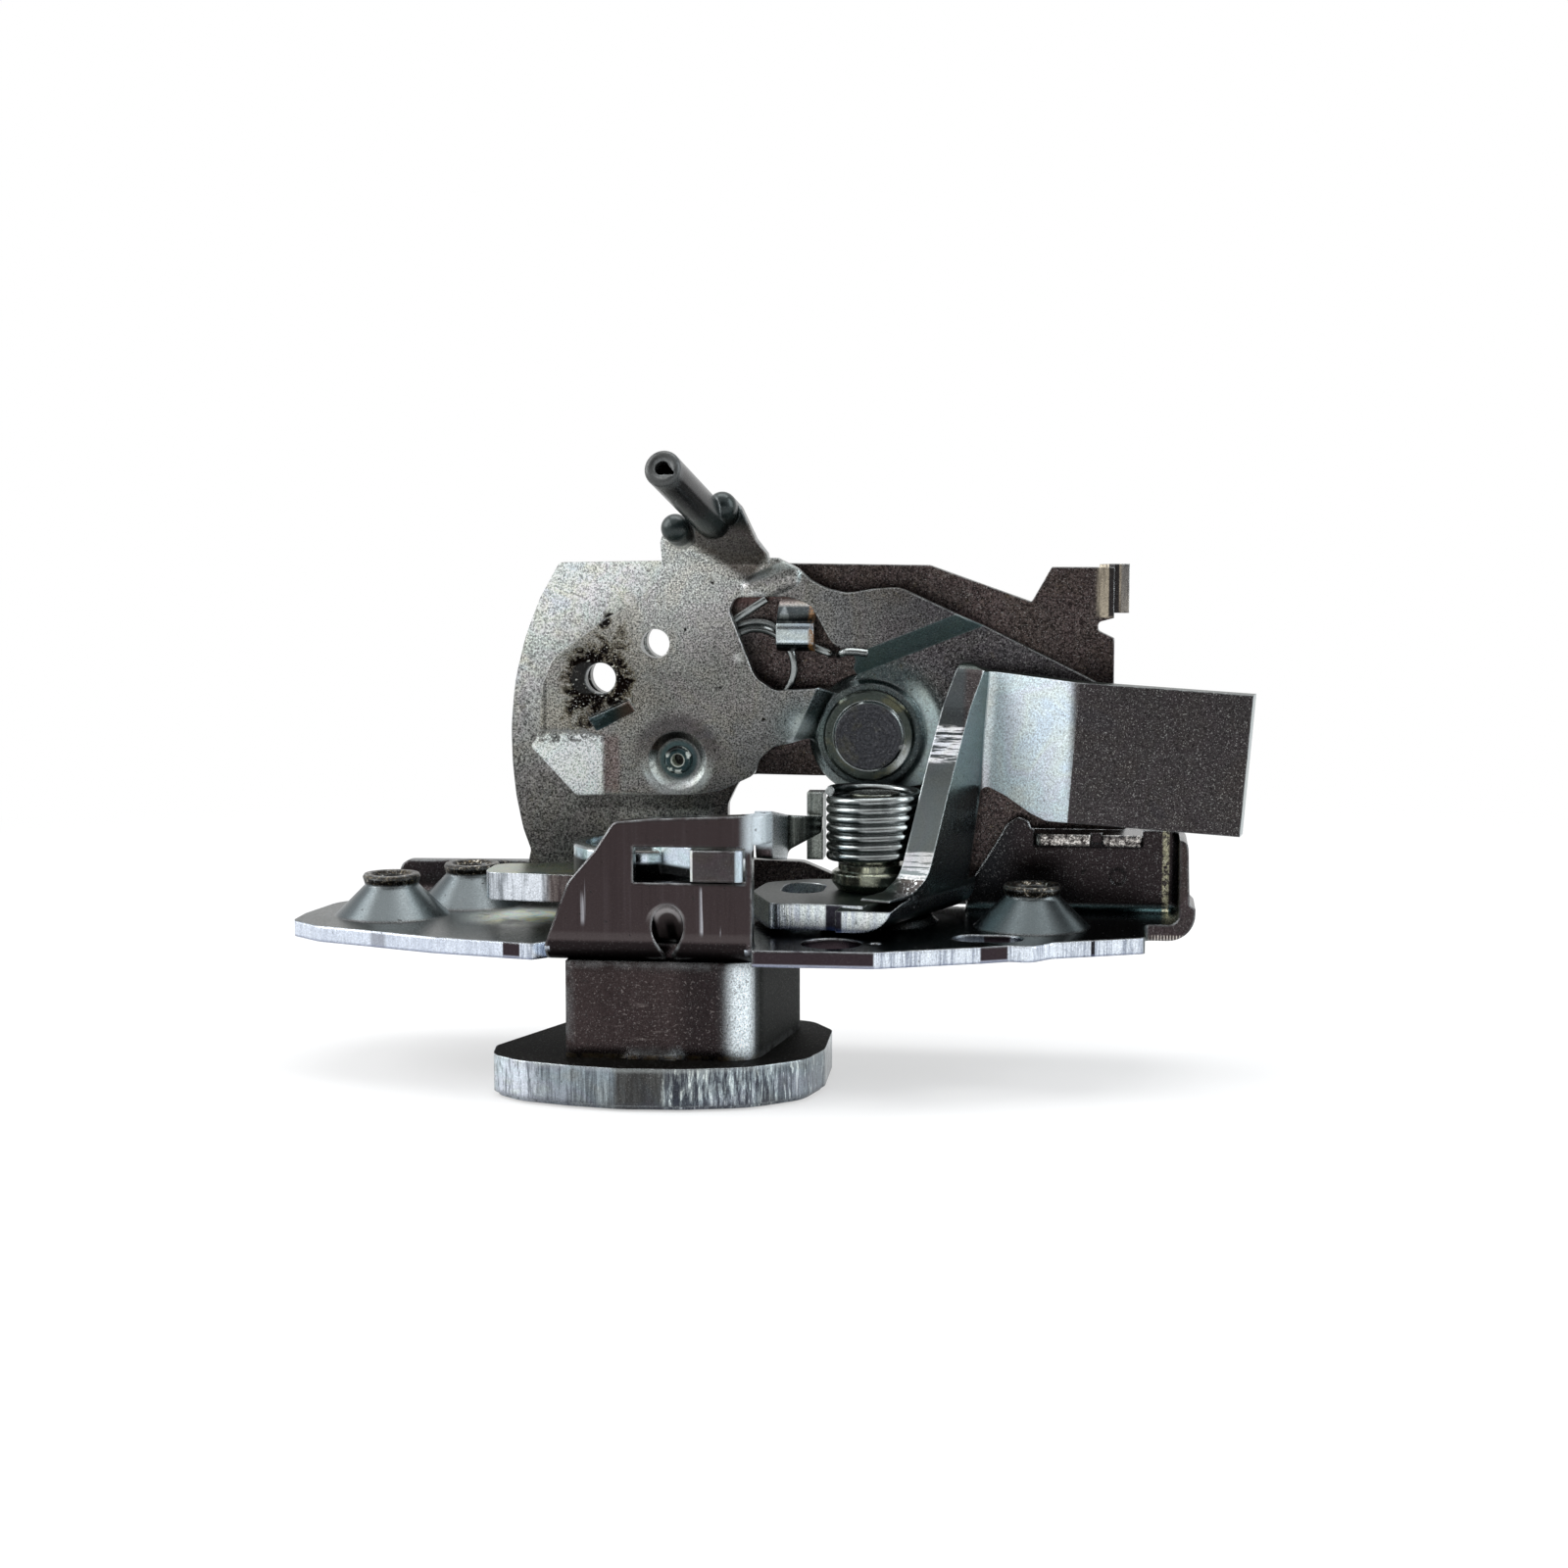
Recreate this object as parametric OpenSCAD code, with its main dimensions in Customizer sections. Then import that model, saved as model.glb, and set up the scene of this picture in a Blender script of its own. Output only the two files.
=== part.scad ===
// Door latch: stamped base plate with an upright back plate, a release lever and a pull lever,
// and a rotor in a box that reaches through the door edge.
// Millimetres. X runs right, Y away from the viewer, Z up. Z = 0 is the face that meets the door edge.

/* [Sheets] */
// sheet thickness of the base plate and its walls
base_t = 2.2; // [1.6:0.1:2.4]
// inside radius of the sheet bends
bend_r = 1.5; // [1:0.1:2.5]
// thickness of the back plate
back_t = 2; // [1.2:0.1:3]
// thickness of the release lever sheet
rel_t = 2; // [1.4:0.1:2.2]
// thickness of the pull lever
pull_t = 3.5; // [2.5:0.1:3.6]
// thickness of the folded box sheet
box_t = 2; // [1.2:0.1:3]
// thickness of the cover plate
cover_t = 5.5; // [3:0.5:8]

/* [Screw dimples] */
// radius of a dimple where it leaves the plate
dimple_r = 8; // [7:0.1:8.2]
// height of the collar top over the mounting face
dimple_h = 8; // [7:0.1:9]
// radius of the threaded bore
screw_r = 2.5; // [2:0.1:3]
// radius of the countersink at the mounting face
sink_r = 6.6; // [5:0.1:6.8]

/* [Upright walls] */
// height of the front flange
flange_h = 19.4; // [18:0.2:22]
// height of the rear wall under its ledge
wall_h = 13.9; // [12.5:0.1:14]
// height of the back plate
back_h = 51; // [48:0.5:54]

/* [Release lever] */
// radius of the main rivet shank
pin_r = 3; // [2:0.1:4]
// radial clearance of the turning joints
run_gap = 0.06; // [0.02:0.01:0.1]
// radius of the main rivet head
head_r = 6.5; // [5.5:0.1:7.5]
// radius of the pressed boss round the main rivet
boss_r = 8.2; // [7:0.1:9]
// outside radius of the rolled finger
finger_r = 2.5; // [2:0.05:2.8]
// radius of the hole along the rolled finger
finger_bore = 1; // [0.6:0.05:1.5]

/* [Pull lever] */
// radius of the stud under the pull spring
stud_r = 3.5; // [2.5:0.1:4]
// lean of the upright part of the pull lever, degrees
pull_lean = 4.5; // [0:0.5:8]
// heading of the pull lever web from front to back, degrees
web_turn = 22.7; // [15:0.1:30]

/* [Springs] */
// wire radius of the pull spring
wire_r = 0.64; // [0.4:0.02:0.7]
// number of turns of the pull spring
pull_turns = 7; // [5:1:7]
// outside radius of the pull spring
coil_r = 6.7; // [6:0.1:6.8]
// wire radius of the toggle spring
toggle_r = 0.55; // [0.4:0.05:0.6]

/* [Lock hub and rotor] */
// radius of the hub drum
drum_r = 10; // [8:0.5:10.5]
// radius of the shaft through the base plate
shaft_r = 4; // [3:0.1:5]
// thickness of the flat lever under the hub
cam_t = 3.8; // [2.5:0.1:4]
// radius of the rotor round its shaft
rotor_r = 5.4; // [5:0.1:7]

/* [Reaches] */
// reach of the base plate's left tip from the origin
left_end = 77.6; // [74:0.2:80]
// depth of the low rear wall behind the origin
strip_y = 27; // [25.5:0.1:28]
// length of the pull lever's pad
pad_len = 23.5; // [20:0.1:25]
// distance of the lock lever's rivet below the back plate's top
lock_drop = 5; // [4:0.1:6]

/* [Box] */
// height of the box under the mounting face
box_h = 12.8; // [10:0.2:16]

/* [Hidden] */
$fn = 64;
eps = 0.01;
bend_o = bend_r + base_t;
front_y = -18.2;
rear_y = 21.4;
cam_z = 5.9;
drum_z = cam_z + cam_t;
drum_top = 14;
hub = [-27.7, -1.5];
dart_r = 2.1;
dart_z = 5.1;
stud = [2.5, 8];
pivot = [0.8, 26.9];
foot_z = 3;
foot_top = foot_z + pull_t;
collar_top = 9.6;
collar_r = 5.9;
rel_y = 15.6;
rel_hub_y = rear_y - rel_t;
back_y = rear_y;
web_x = 10.3;
web_y = 1.5;
pull_r = 0.6;
pad_turn = 9;
post_a = [-15.6, -10.2];
post_b = [-13.2, 2.5];
lock_pin = [-22.5, back_h - lock_drop];
let_in = 0.1;

steel = [0.72, 0.73, 0.74];
pale = [0.8, 0.82, 0.83];
dark = [0.42, 0.4, 0.4];

// outline points are [x, y] or [x, y, corner radius]
function unit(v) = v / norm(v);
function corner(a, b, c, r) =
    let (u = unit([a.x - b.x, a.y - b.y]))
    let (w = unit([c.x - b.x, c.y - b.y]))
    norm(u + w) < 0.03 ? [[b.x, b.y]] :
    let (half = acos(max(-1, min(1, u * w))) / 2)
    let (o = [b.x, b.y] + unit(u + w) * r / sin(half))
    let (s = [b.x, b.y] + u * r / tan(half))
    let (e = [b.x, b.y] + w * r / tan(half))
    let (a0 = atan2(s.y - o.y, s.x - o.x))
    let (a1 = atan2(e.y - o.y, e.x - o.x))
    let (turn = (a1 - a0 + 540) % 360 - 180)
    let (n = max(2, ceil(abs(turn) / 15)))
    [for (i = [0 : n]) o + r * [cos(a0 + turn * i / n), sin(a0 + turn * i / n)]];
function rounded(p) =
    [for (i = [0 : len(p) - 1])
        let (a = p[(i + len(p) - 1) % len(p)], b = p[i], c = p[(i + 1) % len(p)])
        each (len(b) > 2 ? corner(a, b, c, b[2]) : [b])];

// plate standing in the XZ plane between y0 and y0 + t
module upright(points, y0, t) {
    translate([0, y0 + t, 0])
        rotate([90, 0, 0])
            linear_extrude(t)
                polygon(rounded(points));
}

// prism whose outline is given in Y and Z, between x0 and x0 + w
module sideways(points, x0, w) {
    translate([x0, 0, 0])
        rotate([90, 0, 90])
            linear_extrude(w)
                polygon(rounded(points));
}

// flat plate between z0 and z0 + t
module flat(points, z0, t) {
    translate([0, 0, z0])
        linear_extrude(t)
            polygon(rounded(points));
}

// round bar along Y
module ybar(x, z, r, y0, y1, r2 = -1) {
    translate([x, y1, z])
        rotate([90, 0, 0])
            cylinder(r1 = r2 < 0 ? r : r2, r2 = r, h = y1 - y0);
}

// quarter ring of sheet, bend axis along Z at the origin, in the quadrant [sx, sy]
module elbow(ro, ri, sx, sy) {
    intersection() {
        difference() {
            circle(ro);
            circle(ri);
        }
        translate([sx < 0 ? -ro : 0, sy < 0 ? -ro : 0])
            square(ro);
    }
}

// bent wire along a list of points; up is a direction the wire never follows
module wire(path, r, up) {
    n = len(path);
    m = 8;
    ring = [for (i = [0 : n - 1])
        let (t = unit(path[min(i + 1, n - 1)] - path[max(i - 1, 0)]))
        let (s = unit(cross(t, up)))
        let (v = cross(s, t))
        for (k = [0 : m - 1]) path[i] + r * (cos(360 * k / m) * s + sin(360 * k / m) * v)];
    sides = [for (i = [0 : n - 2], k = [0 : m - 1])
        [i * m + k, i * m + (k + 1) % m, (i + 1) * m + (k + 1) % m, (i + 1) * m + k]];
    ends = [[for (k = [0 : m - 1]) m - 1 - k], [for (k = [0 : m - 1]) (n - 1) * m + k]];
    polyhedron(points = ring, faces = concat(sides, ends), convexity = 8);
}

// solid with one rounded tray corner of radius r about the point c
module tray(c, r) {
    long = 40;
    deep = 16;
    translate([c.x - long, c.y - deep, c.z - r])
        cube([long, deep, r + long]);
    translate([c.x - long, c.y - deep, c.z])
        cube([long, deep + r, long]);
    translate([c.x - long, c.y - deep, c.z])
        cube([long + r, deep, long]);
    translate([c.x - long, c.y, c.z])
        rotate([0, 90, 0])
            cylinder(r = r, h = long);
    translate([c.x, c.y, c.z])
        rotate([90, 0, 0])
            cylinder(r = r, h = deep);
    translate(c)
        cylinder(r = r, h = long);
    translate(c)
        sphere(r);
}

// base plate

base_outline = [
    [-left_end + 0.1, -2, 2], [-left_end + 5, -6.3, 4], [-64.5, -9.4, 4], [-55, -13.2, 8], [-44.6, -15.7, 3],
    [-40.6, -16.6], [-38.6, -14.5], [-11.1, -14.5], [-11.1, -18.3], [4.7, -18, 3], [18.3, -12.3, 3], [21.9, -10.5, 1.2],
    [24.8, -10.9, 2], [27.4, -7.6, 1.5], [33.1, -5.2, 2], [39.7, -2.3, 1], [39.7, rear_y], [-49.6, rear_y],
    [-49.6, strip_y - bend_o], [-69, strip_y - bend_o, 2], [-left_end + 1.6, 14, 5], [-left_end, 4, 4]
];

flange_outline = [
    [-38.6, -1], [-38.6, 2.2], [-35.4, 10.7, 3], [-32, 14.6, 2], [-29.3, flange_h - 0.7, 1.4],
    [-24, flange_h - 0.2, 2], [-12, flange_h + 0.3], [-8, flange_h + 0.5], [-8, 15.9], [-11.1, 15.9],
    [-11.1, -1]
];

arm_outline = [
    [-14, 19.9], [-22, 19.9], [-22, 15.9], [-14, 15.9], [-13.2, 13.6, 1],
    [2.4, 11.2, 1.5], [8.8, 14.9], [8.8, 10.4], [13, 10.4, 1], [13, 19.8, 1],
    [8.8, 19.8], [8.8, 16.4], [4, 17.2, 1]
];

arm_plan = [
    [-11.2, -14.6], [-11.2, 5, 1], [-6.95, 8.6, 1], [-6.95, 13], [-4.75, 13], [-4.75, 7.9, 1],
    [-9, 4.3, 1.5], [-9, -14.6]
];

wall_outline = [
    [-90, -1], [-90, base_t], [14.6, base_t], [14.6, 5, 1], [18.8, 11.7, 4], [20.3, 14.4, 2],
    [21.9, 15.6, 1.2], [23.4, 14.9, 0.5], [23.8, wall_h, 0.3], [45.5, wall_h, 1.2], [45.8, 5, 0.5], [46.8, 4.3],
    [46.8, -1]
];

ledge_plan = [
    [24.2, rear_y - 2.6], [24.2, 13.6, 1.5], [25.3, 12.9, 0.5], [32.2, 12.9, 0.5], [32.2, 15.4], [33.8, 15.4],
    [33.8, 12.9, 0.5], [39.4, 12.9, 0.8], [39.4, rear_y - 2.6]
];

dimples = [[-65.3, 5], [-56.5, 16.5], [24.4, 5.4]];

module dimple_skin() {
    cylinder(r = dimple_r, h = base_t);
    translate([0, 0, base_t])
        cylinder(r1 = dimple_r, r2 = screw_r + 1.3, h = dimple_h - base_t - 1.6);
    cylinder(r = screw_r + 1.2, h = dimple_h - 0.6);
    translate([0, 0, dimple_h - 1.7])
        cylinder(r1 = screw_r + 1.2, r2 = screw_r + 1.55, h = 1.3);
    translate([0, 0, dimple_h - 0.4])
        cylinder(r1 = screw_r + 1.55, r2 = screw_r + 1.3, h = 0.4);
}

module dimple_void() {
    translate([0, 0, -eps])
        cylinder(r1 = sink_r, r2 = screw_r, h = 4.1);
    translate([0, 0, -eps])
        cylinder(r = screw_r, h = dimple_h + 1);
    translate([0, 0, dimple_h - 0.5])
        cylinder(r1 = screw_r, r2 = screw_r + 0.6, h = 0.6);
}

module front_flange() {
    difference() {
        union() {
            intersection() {
                translate([-39, 0, 0])
                    rotate([90, 0, 90])
                        linear_extrude(28)
                            union() {
                                translate([front_y + bend_o, bend_o])
                                    elbow(bend_o, bend_r, -1, -1);
                                translate([front_y, bend_o - eps])
                                    square([base_t, 20]);
                            }
                upright(flange_outline, -20, 8);
            }
            // top strip, turned round to the back at the right
            difference() {
                translate([-12, front_y, 15.9])
                    cube([0.8 + eps, base_t, 3.9]);
                translate([-12.5, -30, 19.7])
                    cube(20);
            }
            translate([-11.2 - bend_r, front_y + bend_o, 15.9])
                linear_extrude(3.8)
                    elbow(bend_o, bend_r, 1, -1);
            intersection() {
                flat(arm_plan, 5, 20);
                sideways(arm_outline, -13, 12);
            }
            // rib behind the dart
            intersection() {
                translate([-22.2, front_y, dart_z])
                    rotate([45, 0, 0])
                        translate([0, 0, -12])
                            cylinder(r = dart_r + 1.4, h = 24);
                translate([-27, front_y + base_t - 0.5, 0.5])
                    cube([10, 8, 12]);
            }
        }
        // window
        translate([-26.7, front_y - 1, 10.8])
            cube([14.75, base_t + 2, 4.7]);
        // dart pressed in across the bend
        translate([-22.2, front_y, dart_z])
            rotate([45, 0, 0])
                translate([0, 0, -8])
                    cylinder(r = dart_r, h = 14);
    }
}

// low wall turned up along the rear of the left end
module rear_strip() {
    intersection() {
        translate([-70, 0, 0])
            rotate([90, 0, 90])
                linear_extrude(20.4)
                    union() {
                        translate([strip_y - bend_o, bend_o])
                            elbow(bend_o, bend_r, 1, -1);
                        translate([strip_y - base_t, bend_o - eps])
                            square([base_t, 4]);
                    }
        upright([[-69.4, -1], [-69.4, 7, 1.6], [-49.6, 7.2, 1], [-49.6, -1]], 20, 8);
    }
}

module base_plate() {
    color(steel)
        difference() {
            union() {
                difference() {
                    union() {
                        flat(base_outline, 0, base_t);
                        // raised seat round the pull lever stud
                        translate([stud.x, stud.y, base_t])
                            cylinder(r1 = 8.8, r2 = 8, h = foot_z - base_t);
                    }
                    translate([13.5, -2, -1])
                        cube([40, 30, base_t + 5]);
                }
                // right end with its drawn corner
                intersection() {
                    difference() {
                        tray([46.6 - bend_o, rear_y - bend_o, bend_o], bend_o);
                        tray([46.6 - bend_o, rear_y - bend_o, bend_o], bend_r);
                    }
                    upright(wall_outline, -10, 40);
                    union() {
                        flat([[13.4, -3.5], [39.7, -2.3, 1], [39.7, 8.4, 1], [50, 8.4], [50, 30],
                            [13.4, 30]], -1, base_t + 2);
                        translate([13.4, 8.4, base_t])
                            cube([40, 20, 20]);
                    }
                }
                // fill between the tray bottom and the front edge
                intersection() {
                    flat(base_outline, 0, base_t);
                    translate([13.4, -20, 0])
                        cube([40, 22, base_t]);
                }
                // ledge folded forward from the rear wall, cut into two lugs
                difference() {
                    flat(ledge_plan, wall_h - base_t, base_t);
                    translate([20, 10, wall_h - base_t - 1])
                        cube([25, 7, 1.6]);
                }
                translate([24.2, rear_y - 2.7, wall_h - 2.7])
                    rotate([90, 0, 90])
                        linear_extrude(15.2)
                            elbow(2.7, 0.5, 1, 1);
                front_flange();
                rear_strip();
                for (p = dimples)
                    translate([p.x, p.y, 0])
                        dimple_skin();
            }
            for (p = dimples)
                translate([p.x, p.y, 0])
                    dimple_void();
            // stud hole, with a recess for its riveted end
            translate([stud.x, stud.y, -1])
                cylinder(r = stud_r - 0.5, h = 6);
            translate([stud.x, stud.y, -eps])
                cylinder(r = stud_r + 2, h = 0.9);
            // shaft hole
            translate([hub.x, hub.y, -1])
                cylinder(r = shaft_r + run_gap, h = 6);
            // round and oval holes in the front edge
            translate([-1.4, -11.9, -1])
                cylinder(r = 4.1, h = 6);
            translate([17, -5.5, -1])
                linear_extrude(6)
                    union() {
                        circle(2.9);
                        translate([0, -2.9])
                            square([3.8, 5.8]);
                        translate([3.8, 0])
                            circle(2.9);
                    }
            // small hole beside the seat
            translate([4.4, -11.5, -1])
                cylinder(r = 0.8, h = 6);
            // shallow seat that the box is pressed into
            flat(box_plan, -1, 1 + let_in);
            // post holes of the box
            for (p = [post_a, post_b])
                translate([p.x, p.y, -1])
                    cylinder(r = 1.8, h = 6);
            for (p = [post_a, post_b])
                translate([p.x, p.y, base_t - 0.7])
                    cylinder(r1 = 1.8, r2 = 2.6, h = 0.71);
            // weld mark on the rear wall
            ybar(36, 7.2, 1.1, rear_y - base_t - 1, rear_y - base_t + 0.25);
            // clearance cut at the outer end of the ledge
            translate([39.4, 10, wall_h - 0.9])
                cube([2.2, 9, 2]);
        }
}

// back plate

back_outline = [
    [-44.3, back_h + 0.1, 0.6], [-47.2, 46, 8], [-49.4, 40.4, 20], [-51, 34, 25], [-51.6, 27.5, 25],
    [-51.5, 22.3, 25], [-51, 17.3, 20], [-50, 12.4, 10], [-48.9, 9.4, 1.2], [-49.3, 7.5], [-49.3, 0.4],
    [-20, 0.4], [-2, 0.4, 3], [2, 0.4], [6, 2.5, 2], [12, 2.5, 1], [40, 2.5, 2], [40, 12, 3],
    [37, 14, 1], [35.1, 20, 2], [35.1, 40.7, 0.3], [32.8, 41.8, 0.6], [32.8, 43, 0.6], [35, 43.6], [35, back_h - 0.3],
    [26.2, back_h - 0.3, 0.3], [24.4, 47.5], [23.4, 45.8, 0.2], [9, back_h - 0.1, 1], [-11, back_h + 0.1], [-29, back_h + 0.4]
];

back_opening = [
    [-19.9, 13, 1], [-19.9, 16.5, 2], [-17.8, 20.9, 3.5], [-8, 20.8], [5.6, 20.8, 2], [5.6, 5, 1.5],
    [-1, 5, 2], [-9, 8.3, 3], [-19.9, 8.6, 2]
];

module back_plate() {
    color(dark)
        difference() {
            union() {
                upright(back_outline, back_y, back_t);
                // ear tab, stepped to the rear
                flat([[32.9, back_y], [32.9, back_y + back_t], [34.9, back_y + back_t + 2.4],
                    [37.1, back_y + back_t + 2.4],
                    [37.1, back_y + 2.4], [34.9, back_y + 2.4]], 44.2, back_h - 44.1);
            }
            upright(back_opening, back_y - 1, back_t + 2);
            translate([35, back_y - 1, 40])
                cube([3, 1.2, 14]);
            ybar(-29.4, 39.9, 2.3, back_y - 1, back_y + back_t + 1);
            ybar(-37.3, 34.9, 2.6, back_y - 1, back_y + back_t + 1);
            ybar(pivot.x, pivot.y, pin_r - 0.5, back_y - 1, back_y + back_t + 1);
            ybar(lock_pin.x, lock_pin.y, 1.2, back_y - 1, back_y + back_t + 1);
        }
}

// box, cover plate and what turns in them

box_plan = [[-36, -17], [-10.9, -17, 4.6], [-7.2, 7, 4], [-11, 9.5, 3], [-36, 9.5]];
box_inner = [
    [-40, -17 + box_t], [-10.9 - box_t, -17 + box_t, 2.6], [-7.2 - box_t, 7 - box_t * 0.4, 2],
    [-11 - box_t * 0.4, 9.5 - box_t, 1], [-40, 9.5 - box_t]
];

module bolt_box() {
    color(dark)
        union() {
            difference() {
                flat(box_plan, -box_h, box_h + let_in);
                flat(box_inner, -box_h - 1, box_h + 2);
            }
            // locating tab at the foot of the front wall
            translate([-27.6, -17.6, -box_h])
                cube([6.4, 1, 0.7]);
        }
}

cover_outline = [
    [-46.8, -11, 2.5], [-46, -16.5, 3.5], [-41.6, -20, 6], [-34.8, -22, 12], [-27.8, -23.2, 8],
    [-19.5, -22.6, 10],
    [-11.2, -20.5, 10], [-4.4, -14.6, 6], [-2.6, -8, 4], [-2.9, 4.5, 3], [-6.4, 10.6, 4],
    [-20, 12.6, 6], [-39, 9.6, 4]
];
cover_inner = [
    [-46.2, -11, 2.5], [-45.4, -16.3, 3.5], [-41.4, -19.5, 6], [-34.7, -21.5, 12], [-27.8, -22.7, 8],
    [-19.6, -22.1, 10],
    [-11.4, -20, 10], [-4.9, -14.4, 6], [-3.2, -7.9, 4], [-3.5, 4.3, 3], [-6.8, 10.1, 4],
    [-20, 12.1, 6], [-38.6, 9.1, 4]
];

module cover_plate() {
    color(pale)
        difference() {
            union() {
                flat(cover_outline, -box_h - cover_t + 0.5, cover_t - 0.5);
                flat(cover_inner, -box_h - cover_t, 0.6);
            }
            translate([hub.x, hub.y, -box_h - cover_t - 1])
                cylinder(r = 3 + run_gap, h = cover_t + 2);
            for (p = [post_a, post_b])
                translate([p.x, p.y, -box_h - cover_t - 1])
                    cylinder(r = 1.8, h = cover_t + 2);
            for (p = [post_a, post_b])
                translate([p.x, p.y, -box_h - cover_t - eps])
                    cylinder(r1 = 2.8, r2 = 1.8, h = 1);
        }
}

module box_posts() {
    color(pale)
        for (p = [post_a, post_b])
            translate([p.x, p.y, 0]) {
                translate([0, 0, -box_h])
                    cylinder(r = 2.3, h = box_h);
                translate([0, 0, -box_h - cover_t])
                    cylinder(r = 1.8, h = box_h + cover_t + base_t);
                translate([0, 0, base_t - 0.7])
                    cylinder(r1 = 1.8, r2 = 2.6, h = 0.7);
                translate([0, 0, -box_h - cover_t])
                    cylinder(r1 = 2.8, r2 = 1.8, h = 1);
            }
}

module rotor() {
    color(pale)
        difference() {
            translate([hub.x, hub.y - 3.5, -box_h + 0.4])
                linear_extrude(box_h - 0.8)
                    union() {
                        translate([0, 3.5])
                            circle(rotor_r);
                        polygon(rounded([[-7.2, -9, 1.5], [-2.5, -9, 2], [5.2, 1, 2], [4, 7], [-4, 6]]));
                        polygon(rounded([[-7.2, 7.8, 0.8], [-7, 3.5, 0.5], [0, 2], [0, 8.8, 1]]));
                    }
            translate([hub.x, hub.y, -box_h - 1])
                cylinder(r = shaft_r, h = box_h + 2);
        }
}

module rotor_shaft() {
    color(pale)
        union() {
            translate([hub.x, hub.y, -box_h + 0.4])
                cylinder(r = shaft_r, h = box_h - 0.4 + drum_z);
            translate([hub.x, hub.y, -box_h - cover_t + 0.6])
                cylinder(r = 3, h = cover_t);
            translate([hub.x, hub.y, drum_z - eps])
                cylinder(r = 3.2, h = drum_top - drum_z - 0.8);
        }
}

module shaft_collar() {
    color(steel)
        translate([hub.x, hub.y, base_t])
            difference() {
                cylinder(r = 7, h = cam_z - base_t - 0.05);
                translate([0, 0, -1])
                    cylinder(r = shaft_r + run_gap, h = 6);
            }
}

module cam_lever() {
    color(pale)
        difference() {
            flat([[-50, -4, 2.6], [-50, 4.5, 2.6], [-42, 6, 4], [-36, 7.5, 6], [-27, 8.5, 8], [-18, 3, 8],
                [-17.6, -7, 8], [-27, -11, 6], [-37.5, -5.4, 4]], cam_z, cam_t);
            translate([hub.x, hub.y, 0])
                cylinder(r = shaft_r, h = 12);
        }
}

module lock_hub() {
    color(steel)
        difference() {
            union() {
                translate([hub.x, hub.y, drum_z])
                    cylinder(r = drum_r, h = drum_top - drum_z - 0.3);
                translate([hub.x, hub.y, drum_top - 0.3 - eps])
                    cylinder(r1 = drum_r, r2 = drum_r - 0.3, h = 0.3 + eps);
                // arm that reaches through the flange window
                flat([[-24, -1], [-28, -7.5], [-19.2, -15.6, 2], [-19.2, -18.8, 0.8], [-12.3, -18.8, 0.8],
                    [-12.3, -14.6, 3], [-18.5, -4, 3]], 11.1, 4.1);
            }
            translate([hub.x, hub.y, drum_top - 0.8])
                cylinder(r = drum_r - 1.6, h = 4);
            translate([hub.x, hub.y, drum_z - 1])
                cylinder(r = 3.2, h = 8);
        }
}

// pull lever with its stud and spring

foot_outline = [
    [-10.3, -6, 1.5], [-3, -6.3, 1], [5, -7.6, 1], [9, -9], [13, 0], [17, 12, 2], [13, 16.5, 3],
    [3, 17, 5],
    [-7, 16.6, 3], [-13, 13, 3], [-14, 4, 4]
];

web_edge = [
    [-9, 0], [-9, 7.2, 0.5], [-3, 7.4, 3], [1.2, 9.2, 4], [6, 23.5, 20], [9.2, 32, 8],
    [12.8, 37.8, 2.5], [40, 39.2], [60, 39.2], [60, 0]
];

// plan of web, angled part and pad, before it leans; the path is the side that faces the viewer
module pull_plan() {
    rise = [sin(web_turn), cos(web_turn)];
    side = [rise.y, -rise.x];
    foot = [web_x, web_y];
    front = foot - 14 * rise;
    back = foot + 14.4 * rise;
    mid = back + [12.3, -6.8];
    tip = mid + pad_len * [cos(pad_turn), -sin(pad_turn)];
    // far side of the sheet at the tip, the fold and the outside of the bend
    far_tip = tip + pull_t * [sin(pad_turn), cos(pad_turn)];
    far_mid = mid + pull_t * [0.33, 0.96];
    far_back = back + pull_t * [-0.49, 1.42];
    polygon(rounded([
        [front.x, front.y], [back.x, back.y, 1.2], [mid.x, mid.y, 5], [tip.x, tip.y],
        [far_tip.x, far_tip.y], [far_mid.x, far_mid.y, 1.5], [far_back.x, far_back.y, 4.7],
        [front.x - pull_t * side.x, front.y - pull_t * side.y]
    ]));
}

pull_face = [
    [-20, 6], [-20, 38], [12.5, 38], [15.2, 36.95, 2], [27.9, 36.9], [70, 38],
    [70, 18.9], [28.2, 17.6, 3], [25.2, 17.4, 2], [23, 18.1, 2], [19.3, 20, 3], [15.8, 21.2, 1], [14.9, 6]
];

module pull_upright() {
    // leaning about the top of the foot bend
    translate([web_x, 0, foot_top])
        rotate([0, pull_lean, 0])
            translate([-web_x, 0, -foot_top])
                intersection() {
                    translate([0, 0, foot_top + pull_r - 0.2])
                        linear_extrude(40)
                            pull_plan();
                    upright(pull_face, -20, 60);
                    union() {
                        sideways(web_edge, -20, 36.2);
                        translate([16.2, -20, -20])
                            cube([64, 80, 80]);
                    }
                }
}

module pull_bend() {
    turn = -web_turn;
    intersection() {
        translate([web_x, web_y, foot_top + pull_r])
            rotate([0, 0, turn])
                translate([-pull_t - pull_r, 15.3, 0])
                    rotate([90, 0, 0])
                        linear_extrude(40)
                            union() {
                                elbow(pull_t + pull_r, pull_r, 1, -1);
                                translate([-3, -pull_t - pull_r])
                                    square([3 + eps, pull_t]);
                                translate([pull_r, -eps])
                                    square([pull_t, 0.4]);
                            }
        sideways([[-9, 0], [-9, 5.5, 0.5], [-5.5, 6.6, 2], [-3, 7, 3], [1.3, 9.6, 3], [30, 12],
            [30, 0]], -20, 60);
        translate([-20, -7.9, 0])
            cube([60, 30, 20]);
    }
}

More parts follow.
